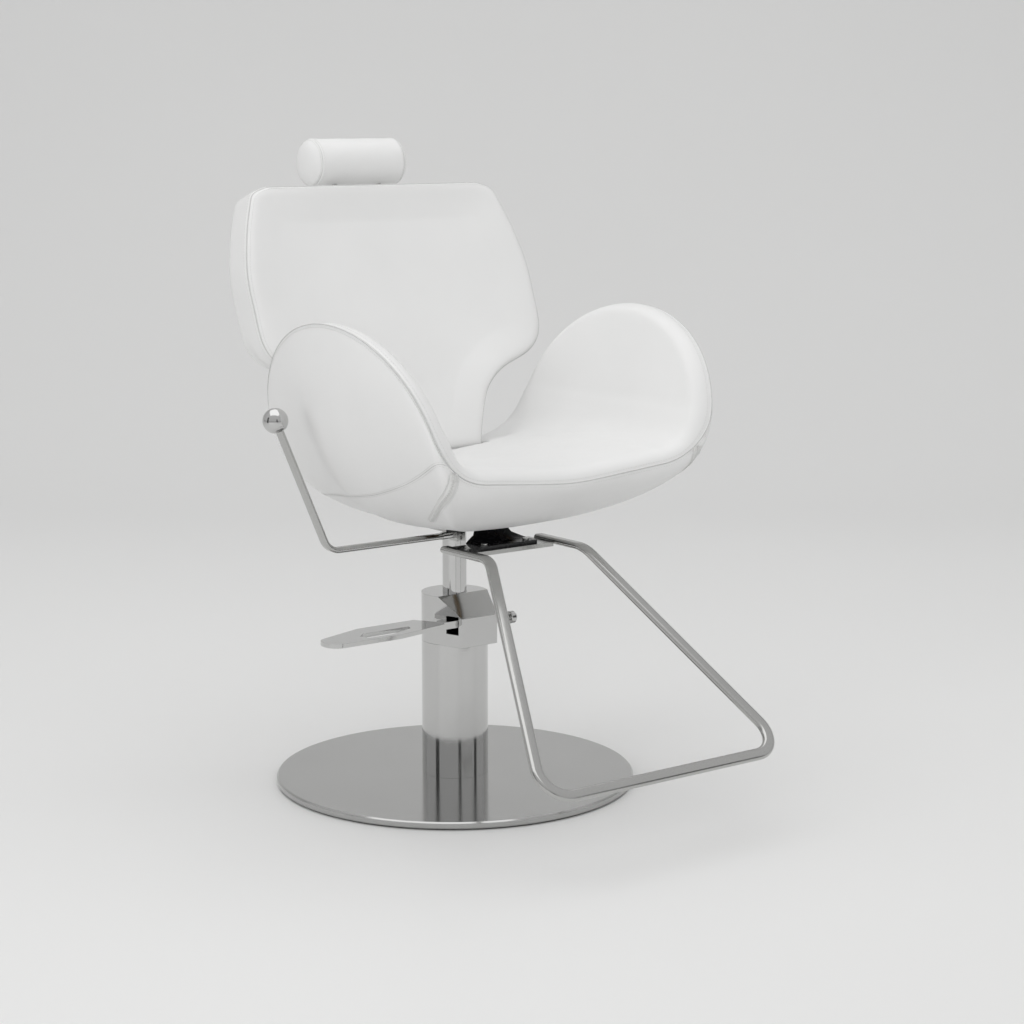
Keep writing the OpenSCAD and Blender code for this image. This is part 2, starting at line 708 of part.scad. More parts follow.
module wing_pad(side) {
    ys = [for (k = [-8 : 8]) wing_y + (wing_half_l - 8) * sin(90 * k / 8)];
    s0 = s_crease + 3;
    n = 8;
    color(white_leather) skin([for (y = ys)
        let (w = sqrt(max(0.0001, 1 - pow((y - wing_y) / wing_half_l, 2))),
             s1 = s_wide + wing_rise * w - 6, edge = min(1, 2.2 * w),
             inner = [for (i = [0 : n]) let (t = i / n, s = s0 + (s1 - s0) * t,
                 h = edge * sqrt(1 - pow(t, 6))) sheet(s, y, 1 + wing_pad_t * h)],
             outer = [for (i = [n : -1 : 0]) sheet(s0 + (s1 - s0) * i / n, y, soft_gap)],
             ring = concat(inner, outer))
        side > 0 ? ring : [for (i = [len(ring) - 1 : -1 : 0]) [-ring[i][0], ring[i][1], ring[i][2]]]]);
}

module left_wing_pad() {
    wing_pad(1);
}

module right_wing_pad() {
    wing_pad(-1);
}

// Depth of the rear seam at arc length s
function rear_seam(s) = seat_rear - (seat_rear - wing_y - wing_half_l) * pow(s / s_wide, 2);

// Pads behind the cushion, one on each side of the foot of the back
module rear_pads() {
    n = 6;
    s0 = bracket_x + 12;
    ss = [for (k = [0 : n]) s0 + (s_crease - s0) * k / n];
    color(white_leather) for (g = [-1, 1]) {
        rings = [for (s = ss)
            let (y0 = cushion_rear + 3, y1 = rear_seam(s) - 4)
            concat([for (k = [0 : n]) let (t = k / n)
                sheet(s, y0 + (y1 - y0) * t, 1 + wing_pad_t * sqrt(1 - pow(t, 6)))],
                [for (k = [n : -1 : 0]) let (t = k / n) sheet(s, y0 + (y1 - y0) * t, -4)])];
        skin(g < 0 ? [for (r = rings) [for (q = r) q]] : [for (r = rings)
            [for (i = [len(r) - 1 : -1 : 0]) [-r[i][0], r[i][1], r[i][2]]]]);
    }
}

module hinge_brackets() {
    color(dark_steel) for (x = [-1, 1]) difference() {
        translate([x * bracket_x - bracket_t / 2, 0, 0]) rotate([90, 0, 90]) linear_extrude(bracket_t)
            hull() {
                translate([hinge[1], hinge[2]]) circle(r = hinge_eye_r);
                translate([rail_y1 - 60, rail_z + rail_h]) square([60, 6]);
            }
        translate([x * bracket_x - 10, hinge[1], hinge[2]]) rotate([0, 90, 0])
            cylinder(r = hinge_r, h = 20);
    }
}

module hinge_pins() {
    pin_l = bracket_x + 4 - hinge_end + bush_l;
    color(satin) for (x = [-1, 1])
        translate([x * (hinge_end - bush_l + pin_l / 2) - pin_l / 2, hinge[1], hinge[2]])
            rotate([0, 90, 0]) cylinder(r = hinge_r, h = pin_l);
}

// ---- gas spring ----

module gas_cylinder() {
    color(black) difference() {
        union() {
            translate([0, gas_front_y + 10, crank_pin[2]]) rotate([-90, 0, 0])
                cylinder(r = gas_r, h = gas_end_y - gas_front_y - 10);
            translate([-gas_r + 1, gas_front_y - 7, crank_pin[2] - 7]) cube([2 * gas_r - 2, 20, 14]);
        }
        translate([0, gas_front_y + 40, crank_pin[2]]) rotate([-90, 0, 0])
            cylinder(r = gas_rod_r + run_fit, h = gas_end_y - gas_front_y);
        translate([-40, gas_front_y, crank_pin[2]]) rotate([0, 90, 0]) cylinder(r = crank_pin_r, h = 80);
    }
}

module gas_anchor_pin() {
    color(satin) translate([-gas_r - 8, gas_front_y, crank_pin[2]]) rotate([0, 90, 0])
        cylinder(r = crank_pin_r, h = 2 * gas_r + 16);
}

module gas_rod() {
    slot = 2.6;
    color(chrome) difference() {
        union() {
            translate([0, gas_front_y + 76, crank_pin[2]]) rotate([-90, 0, 0])
                cylinder(r = gas_rod_r, h = crank_pin[1] - gas_front_y - 76 - 6);
            translate([-4, crank_pin[1] - gas_eye_r - 2, crank_pin[2] - gas_eye_r - 1])
                cube([8, 2 * gas_eye_r + 0.5, 2 * gas_eye_r + 2]);
        }
        for (z = [-1, 1]) translate([-10, crank_pin[1], crank_pin[2] + z * slot]) rotate([0, 90, 0])
            cylinder(r = crank_pin_r + 0.8, h = 20);
        translate([-10, crank_pin[1] - crank_pin_r - 0.8, crank_pin[2] - slot])
            cube([20, 2 * crank_pin_r + 1.6, 2 * slot]);
    }
}

// ---- recline lever ----

module lever_bracket() {
    color(satin) difference() {
        for (x = cheek_x) translate([x, lever_y - 11, lever_z - 10]) cube([6, 22, plate_z - lever_z + 10]);
        translate([shaft_x0 - 10, lever_y, lever_z]) rotate([0, 90, 0])
            cylinder(r = shaft_r + run_fit, h = 80);
    }
}

module lever_shaft() {
    arm_t = cheek_x[1] - cheek_x[0] - 6 - 1;
    color(chrome) {
        translate([shaft_x0, lever_y, lever_z]) rotate([0, 90, 0])
            cylinder(r = shaft_r, h = shaft_x1 - shaft_x0);
        translate([cheek_x[0] + 6.5, lever_y - 3, lever_z - 16]) cube([arm_t, 6, 16]);
    }
}

module recline_lever() {
    ball = [-lever_ball_x, lever_y, lever_ball_z];
    bend = [-lever_bend_x, lever_y, lever_z];
    path = rounded([[shaft_x0, lever_y, lever_z], bend, ball - 0.8 * lever_ball_d / 2 * unit(ball - bend)],
        lever_bend_r);
    color(chrome) sweep(path, oval(lever_w, lever_t),
        [for (i = [0 : len(path) - 1]) let (t = path[min(i + 1, len(path) - 1)] - path[max(i - 1, 0)])
            [-t[2], 0, t[0]]]);
}

module lever_ball() {
    d = unit([-lever_ball_x + lever_bend_x, 0, lever_ball_z - lever_z]);
    color(chrome) difference() {
        translate([-lever_ball_x, lever_y, lever_ball_z]) sphere(d = lever_ball_d);
        translate([-lever_ball_x, lever_y, lever_ball_z]) rotate([0, atan2(d[0], d[2]), 0])
            translate([-lever_ball_d, -lever_ball_d, -1.4 * lever_ball_d + 0.1])
            cube([2 * lever_ball_d, 2 * lever_ball_d, lever_ball_d]);
    }
}

// ---- footrest ----

module footrest_bracket() {
    z0 = foot_plate_z1;
    z1 = rail_z;
    y0 = front_cross_y;
    c = [y0 - bracket_r, z0 + bracket_th / 2 + bracket_r];
    ro = bracket_r + bracket_th / 2;
    ri = bracket_r - bracket_th / 2;
    color(black) difference() {
        intersection() {
            // side profile: a flange, a quarter bend, a stem and a foot under the crossbar
            translate([-bracket_flange_w / 2, 0, 0]) rotate([90, 0, 90]) linear_extrude(bracket_flange_w)
                polygon(concat([[bracket_front_y, z0]],
                    [for (a = [-90 : 7.5 : 0]) c + ro * [cos(a), sin(a)]],
                    [[y0 + bracket_th / 2, z1 - bracket_th], [y0 + 13, z1 - bracket_th], [y0 + 13, z1],
                    [y0 - bracket_th / 2, z1]],
                    [for (a = [0 : -7.5 : -90]) c + ri * [cos(a), sin(a)]],
                    [[bracket_front_y, z0 + bracket_th]]));
            // front outline: wide at the flange, narrow at the stem
            translate([0, y0 + 20, 0]) rotate([90, 0, 0]) linear_extrude(120) polygon(concat(
                [for (q = bracket_edge) q], [for (i = [len(bracket_edge) - 1 : -1 : 0])
                [-bracket_edge[i][0], bracket_edge[i][1]]]));
        }
        for (x = [-1, 1]) translate([x * flange_screw_x, bracket_front_y + 11, z0 - overlap])
            cylinder(r = screw_r + run_fit, h = 20);
        for (x = [-1, 1]) translate([x * stem_screw_x, y0 + 8, z1 - 20])
            cylinder(r = screw_r + run_fit, h = 40);
    }
}

module footrest_screws() {
    z0 = foot_plate_z1 + bracket_th;
    z1 = rail_z - bracket_th;
    color(satin) for (x = [-1, 1]) {
        translate([x * flange_screw_x, bracket_front_y + 11, foot_plate_z1 - foot_plate_t])
            cylinder(r = screw_r, h = foot_plate_t + bracket_th);
        translate([x * flange_screw_x, bracket_front_y + 11, z0])
            cylinder(r = screw_head_r, h = screw_head_h);
        translate([x * stem_screw_x, front_cross_y + 8, z1]) cylinder(r = screw_r, h = bracket_th + cross_t);
        translate([x * stem_screw_x, front_cross_y + 8, z1 - screw_head_h])
            cylinder(r = screw_r + 1.4, h = screw_head_h);
    }
}

module footrest_plate() {
    x = foot_half_w - bar_w / 2;
    z = foot_plate_z1 - foot_plate_t;
    color(satin) difference() {
        translate([-x, foot_plate_y0, z]) cube([2 * x, foot_plate_y1 - foot_plate_y0, foot_plate_t]);
        for (s = [-1, 1]) translate([s * flange_screw_x, bracket_front_y + 11, z - overlap])
            cylinder(r = screw_r + run_fit, h = 20);
    }
}

module footrest_bar() {
    k = 42;
    knee = [foot_half_w, -foot_knee_y, foot_top_z];
    low = [foot_bottom_half_w, -foot_reach, foot_z];
    right = [[foot_half_w, foot_rear_y, foot_top_z], knee, low];
    left = [for (i = [2 : -1 : 0]) [-right[i][0], right[i][1], right[i][2]]];
    path = rounded(concat(right, left), k, 5);
    leg = unit(low - knee);
    flat_n = [0, 0, 1];
    leg_n = unit([0, -leg[2], leg[1]]);
    color(satin) sweep(path, oval(bar_w, bar_t),
        [for (p = path) let (t = ease((-p[1] - foot_knee_y + 30) / 60))
            unit((1 - t) * flat_n - t * leg_n)]);
}

// ---- back, drawn in its own plane: x across, y up the back, z behind the front plane ----

module in_back_plane() {
    translate([0, back_y, back_z]) rotate([90 - back_tilt, 0, 0]) mirror([0, 0, 1]) children();
}

back_outline = curve([[0.355, 0], [0.41, 0.1], [0.5, 0.215], [0.646, 0.289], [0.88, 0.35], [0.985, 0.43],
    [1, 0.57], [0.996, 0.69], [0.95, 0.82], [0.898, 0.915], [0.85, 0.975], [0.745, 1]]);

module back_plan(inset = 0, from = 0) {
    h = back_h - from - 2 * inset;
    pts = [for (p = back_outline) [(back_half_w - inset) * p[0], from + inset + h * p[1]]];
    polygon(concat(pts, [for (i = [len(pts) - 1 : -1 : 0]) [-pts[i][0], pts[i][1]]]));
}

module back_pad() {
    color(white_leather) in_back_plane() linear_extrude(pad_k) back_plan();
}

module back_board() {
    color(plywood) in_back_plane() translate([0, 0, board_k0]) linear_extrude(back_board_t) difference() {
        back_plan(10, cover_from);
        for (x = [-1, 1], h = [110, 190]) translate([x * 58, h]) circle(r = screw_r + run_fit);
    }
}

// Tray behind the pad: a skin on the back and round the sides, open at the foot
module back_cover() {
    k0 = pad_k + soft_gap;
    color(white_leather) in_back_plane() difference() {
        translate([0, 0, k0]) linear_extrude(back_t - k0) back_plan(1, cover_from);
        translate([0, 0, k0 - overlap]) linear_extrude(cover_k0 - k0 + overlap) {
            back_plan(5, cover_from);
            translate([-back_half_w, 0]) square([2 * back_half_w, cover_from + 6]);
        }
        for (x = [-1, 1]) translate([x * rod_pitch / 2, back_h + 10, rod_k]) rotate([90, 0, 0])
            cylinder(r = guide_r + seat_gap, h = 40);
    }
}

module back_frame() {
    arm_x = 58;
    color(dark_steel) {
        difference() {
            union() {
                // cross tube in the hinge line
                translate([-hinge_end, hinge[1], hinge[2]]) rotate([0, 90, 0])
                    cylinder(r = hinge_r + 4, h = 2 * hinge_end);
                // arms up the back of the board
                in_back_plane() for (x = [-1, 1]) translate([x * arm_x - 17, 2, arm_k0])
                    cube([34, 248, back_arm_t]);
                in_back_plane() translate([-arm_x, 214, arm_k0]) cube([2 * arm_x, 36, back_arm_t]);
                // crank ears for the gas spring
                for (x = [-1, 1]) translate([x * 8 - 2.5, hinge[1], hinge[2]]) rotate([crank_rest, 0, 0])
                    translate([0, -9, -crank_l - 6]) cube([5, 18, crank_l]);
                translate([-10.5, crank_pin[1], crank_pin[2]]) rotate([0, 90, 0])
                    cylinder(r = crank_pin_r, h = 21);
            }
            for (x = [-1, 1]) translate([x * hinge_end - bush_l, hinge[1], hinge[2]]) rotate([0, 90, 0])
                cylinder(r = hinge_r + 2, h = 2 * bush_l);
            in_back_plane() for (x = [-1, 1], h = [110, 190]) translate([x * arm_x, h, arm_k0 - overlap])
                cylinder(r = screw_r + run_fit, h = 20);
        }
    }
}

module back_bushes() {
    color(bronze) for (x = [-1, 1]) translate([x * (hinge_end - bush_l / 2), hinge[1], hinge[2]])
        rotate([0, 90, 0]) difference() {
            cylinder(r = hinge_r + 2, h = bush_l, center = true);
            cylinder(r = hinge_r + run_fit, h = bush_l + 2 * overlap, center = true);
        }
}

module board_screws() {
    color(satin) in_back_plane() for (x = [-1, 1], h = [110, 190]) translate([x * 58, h, 0]) {
        translate([0, 0, board_k0 + 2]) cylinder(r = screw_r, h = arm_k0 + back_arm_t - board_k0 - 2);
        translate([0, 0, arm_k0 + back_arm_t]) cylinder(r = screw_head_r, h = screw_head_h);
    }
}

module rod_guides() {
    color(black) in_back_plane() for (x = [-1, 1]) difference() {
        translate([x * rod_pitch / 2, back_h, rod_k]) rotate([90, 0, 0]) cylinder(r = guide_r, h = 150);
        translate([x * rod_pitch / 2, back_h + 10, rod_k]) rotate([90, 0, 0])
            cylinder(r = rod_r + run_fit, h = 200);
    }
}

module headrest_rods() {
    color(chrome) in_back_plane() for (x = [-1, 1]) translate([x * rod_pitch / 2, roll_h - 8, rod_k])
        rotate([90, 0, 0]) cylinder(r = rod_r, h = roll_h - 8 - rod_bottom_h);
}

module headrest_core() {
    color(plywood) in_back_plane() difference() {
        translate([-roll_l / 2 + 12, roll_h, rod_k]) rotate([0, 90, 0]) cylinder(r = 16, h = roll_l - 24);
        for (x = [-1, 1]) translate([x * rod_pitch / 2, roll_h - 8, rod_k]) rotate([90, 0, 0])
            cylinder(r = rod_r, h = 60);
    }
}

module headrest_roll() {
    r = roll_d / 2;
    edge = 16;
    color(white_leather) in_back_plane() difference() {
        translate([0, roll_h, rod_k]) rotate([0, 90, 0]) rotate_extrude() difference() {
            polygon(concat([[0, -roll_l / 2]],
                [for (a = [-90 : 15 : 0]) [r - edge + edge * cos(a), -roll_l / 2 + edge + edge * sin(a)]],
                [for (a = [0 : 15 : 90]) [r - edge + edge * cos(a), roll_l / 2 - edge + edge * sin(a)]],
                [[0, roll_l / 2]]));
            translate([-1, -roll_l / 2 + 12 - seat_gap])
                square([17 + seat_gap, roll_l - 24 + 2 * seat_gap]);
        }
        for (x = [-1, 1]) translate([x * rod_pitch / 2, roll_h - 8, rod_k]) rotate([90, 0, 0])
            cylinder(r = rod_r + 0.1, h = 60);
    }
}

base_pad();
base_disc();
column_cover();
pump_cylinder();
pump_foot();
foot_bolts();
pump_head();
guide_bush();
wiper_seal();
pedal_pin();
pedal_lever();
pump_plunger();
lock_knob();
lock_stem();
piston();
piston_nut();
lift_post();
mount_plate();
mount_bolts();
seat_hub();
seat_frame();
frame_bolts();
seat_shell();
seat_cover();
cushion_board();
seat_cushion();
left_wing_pad();
right_wing_pad();
rear_pads();
hinge_brackets();
hinge_pins();
gas_cylinder();
gas_rod();
gas_anchor_pin();
lever_bracket();
lever_shaft();
recline_lever();
lever_ball();
footrest_bracket();
footrest_screws();
footrest_plate();
footrest_bar();
back_frame();
back_bushes();
back_board();
back_pad();
back_cover();
board_screws();
rod_guides();
headrest_rods();
headrest_core();
headrest_roll();
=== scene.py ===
import json
import math

import bmesh
import bpy
import numpy as np
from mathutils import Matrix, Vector


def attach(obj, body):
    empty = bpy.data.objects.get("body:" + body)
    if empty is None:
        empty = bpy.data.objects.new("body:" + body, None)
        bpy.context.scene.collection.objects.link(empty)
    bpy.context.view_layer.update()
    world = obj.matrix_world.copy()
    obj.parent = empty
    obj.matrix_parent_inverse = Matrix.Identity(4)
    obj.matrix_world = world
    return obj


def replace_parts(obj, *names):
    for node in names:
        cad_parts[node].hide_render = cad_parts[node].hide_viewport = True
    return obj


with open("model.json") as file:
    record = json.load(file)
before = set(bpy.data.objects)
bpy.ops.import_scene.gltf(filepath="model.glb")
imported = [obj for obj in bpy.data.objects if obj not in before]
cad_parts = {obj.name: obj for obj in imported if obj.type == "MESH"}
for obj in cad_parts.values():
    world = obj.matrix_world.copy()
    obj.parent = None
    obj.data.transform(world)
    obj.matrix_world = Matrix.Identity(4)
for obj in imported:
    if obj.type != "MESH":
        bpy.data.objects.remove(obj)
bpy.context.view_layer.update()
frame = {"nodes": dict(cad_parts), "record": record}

MM = 0.001
D2R = math.pi / 180

# ---------------------------------------------------------------- chair's own sizes, mm
BOWL_Z = 442.0
FRONT_Z = 540.0
SEAT_FRONT = 318.0
SEAT_REAR = 175.0
SLOPE = 6.0
LEAN = 15.0
BEND_R = 115.0
WING_RISE = 201.0
WING_L = 234.0
HALF_W = 256.0
WING_A = 90 - LEAN
BEND_A = WING_A - SLOPE
S_FLAT = HALF_W / math.cos(SLOPE * D2R) - BEND_R * math.tan(BEND_A / 2 * D2R)
S_BEND = S_FLAT + BEND_R * BEND_A * D2R
S_WIDE = S_FLAT + BEND_R * 45 * D2R
FRONT_BOW = 14.0                     # the front edge curves back by this much at its corners
WING_Y = -SEAT_FRONT - FRONT_BOW + WING_L
REAR_DROP = 40.0
DROP_Y = 50.0                        # the rear of the sheet drops from here
FOLD_R = 42.0                        # softens the fold along the middle of the sheet
RING_A, RING_B, RING_Y, RING_Z = 80.0, 93.0, -30.0, BOWL_Z + 4.6
BOWL_OUT = (0.06, 0.065, -0.102)     # fullness of the bowl at its front, sides and rear
BOWL_DOWN = (0.313, 0.702, 0.668)
BOWL_FLAT = (0.255, 0.427, 0.215)
OVAL_A, OVAL_B, OVAL_Y = 300, 260, 18     # plan oval that the bowl bulges away from
BOWL_MIDDLE = np.array([0, -80.0, 640.0])
COVER_T = 3.0
CENTRE_Y = -95.0                     # where the rows of the seat's upholstery meet
UNDER = 1.5                          # its underside lies this far below the sheet
PAD_H = 18.0

BACK_Y, BACK_Z, BACK_H = 58.0, 549.0, 469.5      # the padding stands 3.5 mm above the board
BACK_W, BACK_T = 285.0, 68.0
TILT = 20.5 * D2R
ROLL_H = BACK_H + 58.5               # height of the roll's axis up the back
ROD_K = BACK_T - 12.0                # depth of the rods behind the front of the back


# ---------------------------------------------------------------- materials
def material(name, color, rough, metal=0.0):
    m = bpy.data.materials.new(name)
    m.use_nodes = True
    b = m.node_tree.nodes["Principled BSDF"]
    b.inputs["Base Color"].default_value = (*color, 1)
    b.inputs["Roughness"].default_value = rough
    b.inputs["Metallic"].default_value = metal
    return m, m.node_tree, b


def coords(t, scale=(1, 1, 1)):
    c = t.nodes.new("ShaderNodeTexCoord")
    mp = t.nodes.new("ShaderNodeMapping")
    mp.inputs["Scale"].default_value = scale
    t.links.new(c.outputs["Object"], mp.inputs["Vector"])
    return mp.outputs["Vector"]


def noise(t, vec, scale, detail=3.0, rough=0.5):
    n = t.nodes.new("ShaderNodeTexNoise")
    n.inputs["Scale"].default_value = scale
    n.inputs["Detail"].default_value = detail
    n.inputs["Roughness"].default_value = rough
    t.links.new(vec, n.inputs["Vector"])
    return n.outputs["Fac"]


def spread(t, fac, low, high, from_low=0.3, from_high=0.7):
    r = t.nodes.new("ShaderNodeMapRange")
    r.inputs["From Min"].default_value = from_low
    r.inputs["From Max"].default_value = from_high
    r.inputs["To Min"].default_value = low
    r.inputs["To Max"].default_value = high
    t.links.new(fac, r.inputs["Value"])
    return r.outputs["Result"]


def bump(t, b, height, strength, distance, after=None):
    n = t.nodes.new("ShaderNodeBump")
    n.inputs["Strength"].default_value = strength
    n.inputs["Distance"].default_value = distance
    t.links.new(height, n.inputs["Height"])
    if after is not None:
        t.links.new(after, n.inputs["Normal"])
    t.links.new(n.outputs["Normal"], b.inputs["Normal"])
    return n.outputs["Normal"]


def tint(t, b, fac, dark, light):
    m = t.nodes.new("ShaderNodeMix")
    m.data_type = "RGBA"
    m.inputs["A"].default_value = (*dark, 1)
    m.inputs["B"].default_value = (*light, 1)
    t.links.new(fac, m.inputs["Factor"])
    t.links.new(m.outputs["Result"], b.inputs["Base Color"])


def leather(name, light, dark, rough):
    m, t, b = material(name, light, rough)
    vec = coords(t)
    v = t.nodes.new("ShaderNodeTexVoronoi")
    v.feature = "DISTANCE_TO_EDGE"
    v.inputs["Scale"].default_value = 620
    t.links.new(vec, v.inputs["Vector"])
    n1 = bump(t, b, v.outputs["Distance"], 0.10, 0.00025)
    bump(t, b, noise(t, vec, 14, 4), 0.06, 0.004, n1)
    tint(t, b, spread(t, noise(t, vec, 5, 3), 0, 1), dark, light)
    t.links.new(spread(t, noise(t, vec, 60, 3), rough - 0.05, rough + 0.07), b.inputs["Roughness"])
    b.inputs["Coat Weight"].default_value = 0.06
    b.inputs["Coat Roughness"].default_value = 0.35
    b.inputs["Specular IOR Level"].default_value = 0.42
    return m


def brushed(name, color, dark, rough, stretch, strength=0.05):
    m, t, b = material(name, color, rough, 1.0)
    streak = noise(t, coords(t, stretch), 90, 4)
    bump(t, b, streak, strength, 0.0004)
    t.links.new(spread(t, streak, rough - 0.035, rough + 0.035), b.inputs["Roughness"])
    tint(t, b, spread(t, noise(t, coords(t), 7, 3), 0, 1), dark, color)
    return m


def plain(name, light, dark, rough, metal=0.0, scale=80):
    m, t, b = material(name, light, rough, metal)
    vec = coords(t)
    f = noise(t, vec, scale, 4)
    tint(t, b, spread(t, f, 0, 1), dark, light)
    bump(t, b, noise(t, vec, scale * 6, 3), 0.08, 0.0003)
    t.links.new(spread(t, f, rough - 0.05, rough + 0.05), b.inputs["Roughness"])
    return m


def wood(name):
    m, t, b = material(name, (0.55, 0.4, 0.24), 0.6)
    f = noise(t, coords(t, (2, 30, 30)), 12, 5)
    tint(t, b, spread(t, f, 0, 1), (0.4, 0.27, 0.14), (0.62, 0.47, 0.3))
    bump(t, b, f, 0.2, 0.0005)
    return m


LEATHER = leather("leatherette", (0.84, 0.84, 0.835), (0.81, 0.81, 0.805), 0.46)
THREAD = plain("thread", (0.78, 0.78, 0.77), (0.70, 0.70, 0.69), 0.6, 0, 900)
SEAM = plain("seam_shadow", (0.66, 0.66, 0.65), (0.60, 0.60, 0.595), 0.8, 0, 300)
CHROME = brushed("chrome", (0.60, 0.60, 0.595), (0.58, 0.58, 0.575), 0.09, (1, 1, 14), 0.008)
DISC = brushed("disc_steel", (0.50, 0.50, 0.495), (0.48, 0.48, 0.475), 0.13, (1, 22, 1), 0.008)
SATIN = brushed("satin_steel", (0.52, 0.52, 0.51), (0.49, 0.49, 0.48), 0.2, (12, 1, 1), 0.01)
BLACK = plain("black_paint", (0.012, 0.012, 0.013), (0.006, 0.006, 0.007), 0.25)
DARK = plain("dark_paint", (0.05, 0.05, 0.055), (0.03, 0.03, 0.035), 0.45)
RUBBER = plain("rubber", (0.02, 0.02, 0.02), (0.01, 0.01, 0.01), 0.7)
BRONZE = brushed("bronze", (0.5, 0.34, 0.15), (0.42, 0.28, 0.12), 0.3, (1, 1, 10))
WOOD = wood("plywood")
ZIP = plain("zip_teeth", (0.72, 0.72, 0.71), (0.62, 0.62, 0.61), 0.35, 0.0, 500)
TAPE = plain("zip_tape", (0.80, 0.80, 0.79), (0.76, 0.76, 0.75), 0.7, 0, 900)
BY_SLOT = {"leatherette": LEATHER, "chrome": CHROME, "satin_steel": SATIN, "dark_steel": DARK,
           "black_steel": BLACK, "rubber": RUBBER, "bronze": BRONZE, "plywood": WOOD, "plastic": RUBBER}


# ---------------------------------------------------------------- mesh helpers
def link(obj):
    bpy.context.scene.collection.objects.link(obj)
    return obj


def mesh(name, pts, faces, mat, body, smooth=True):
    """A mesh from points in mm; rides on a body."""
    me = bpy.data.meshes.new(name)
    me.from_pydata([tuple(float(c) * MM for c in p) for p in pts], [], faces)
    me.validate()
    me.update()
    if smooth:
        me.shade_smooth()
    o = link(bpy.data.objects.new(name, me))
    me.materials.append(mat)
    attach(o, body)
    return o


def fix_normals(o):
    bm = bmesh.new()
    bm.from_mesh(o.data)
    bmesh.ops.recalc_face_normals(bm, faces=bm.faces)
    bm.to_mesh(o.data)
    bm.free()


def grid_faces(rows, cols, wrap=True, base=0):
    out = []
    for i in range(rows - 1):
        for j in range(cols if wrap else cols - 1):
            k = (j + 1) % cols
            low, high = base + i * cols, base + (i + 1) * cols
            out.append((low + j, low + k, high + k, high + j))
    return out


def box_faces(base):
    """Faces of a box whose two rings of four points start at base."""
    return [tuple(base + i for i in f)
            for f in ((0, 3, 2, 1), (4, 5, 6, 7), (0, 1, 5, 4), (1, 2, 6, 5), (2, 3, 7, 6), (3, 0, 4, 7))]


def unit(v):
    v = np.asarray(v, float)
    return v / np.maximum(np.linalg.norm(v, axis=-1, keepdims=True), 1e-9)


def resample(p, count, closed=False):
    """The path p with its points evenly spaced."""
    p = np.asarray(p, float)
    if closed:
        p = np.vstack([p, p[:1]])
    d = np.concatenate([[0], np.cumsum(np.linalg.norm(np.diff(p, axis=0), axis=1))])
    t = np.linspace(0, d[-1], count + (1 if closed else 0))
    out = np.stack([np.interp(t, d, p[:, i]) for i in range(p.shape[1])], 1)
    return out[:-1] if closed else out


def length(p):
    return float(np.linalg.norm(np.diff(p, axis=0), axis=1).sum())


def tube(name, path, radius, mat, body, closed=False, sides=8):
    """A thin round line through points in mm."""
    p = np.asarray(path, float)
    n = len(p)
    t = unit(np.roll(p, -1, 0) - np.roll(p, 1, 0)) if closed else unit(np.gradient(p, axis=0))
    ref = np.array([0.31, 0.17, 0.93])
    u = unit(np.cross(t, ref))
    v = np.cross(t, u)
    pts = []
    for k in range(n):
        for s in range(sides):
            a = 2 * math.pi * s / sides
            pts.append(p[k] + radius * (math.cos(a) * u[k] + math.sin(a) * v[k]))
    faces = grid_faces(n, sides)
    if closed:
        for s in range(sides):
            q = (s + 1) % sides
            faces.append(((n - 1) * sides + s, (n - 1) * sides + q, q, s))
    else:
        faces += [tuple(range(sides))[::-1], tuple((n - 1) * sides + s for s in range(sides))]
    return mesh(name, pts, faces, mat, body)


def stitches(name, rows, body, pitch=5.0, stitch=3.6, radius=0.42, lift=0.2):
    """Rows are (points, normals); each row becomes a line of thread ends."""
    pts, faces = [], []
    prof = [(-0.5, 0.3), (-0.38, 0.85), (0, 1.0), (0.38, 0.85), (0.5, 0.3)]
    sides = 6
    for p, n in rows:
        total = length(p)
        count = max(2, int(total / pitch))
        q = resample(np.hstack([p, n]), count * 2 + 1)
        for k in range(count):
            c = q[2 * k + 1, :3]
            t = unit(q[2 * k + 2, :3] - q[2 * k, :3])
            w = unit(q[2 * k + 1, 3:])
            w = unit(w - t * float(w @ t))
            b = np.cross(t, w)
            base = len(pts)
            for along, r in prof:
                for s in range(sides):
                    a = 2 * math.pi * s / sides
                    pts.append(c + w * (lift - 0.35 * (1 - r)) + t * along * stitch
                               + radius * r * (math.cos(a) * b + math.sin(a) * w))
            faces += grid_faces(len(prof), sides, base=base)
            faces += [tuple(base + s for s in range(sides))[::-1],
                      tuple(base + (len(prof) - 1) * sides + s for s in range(sides))]
    return mesh(name, pts, faces, THREAD, body)


# ---------------------------------------------------------------- seat sheet, as in the CAD
def ease(t):
    c = np.clip(t, 0, 1)
    return c * c * (3 - 2 * c)


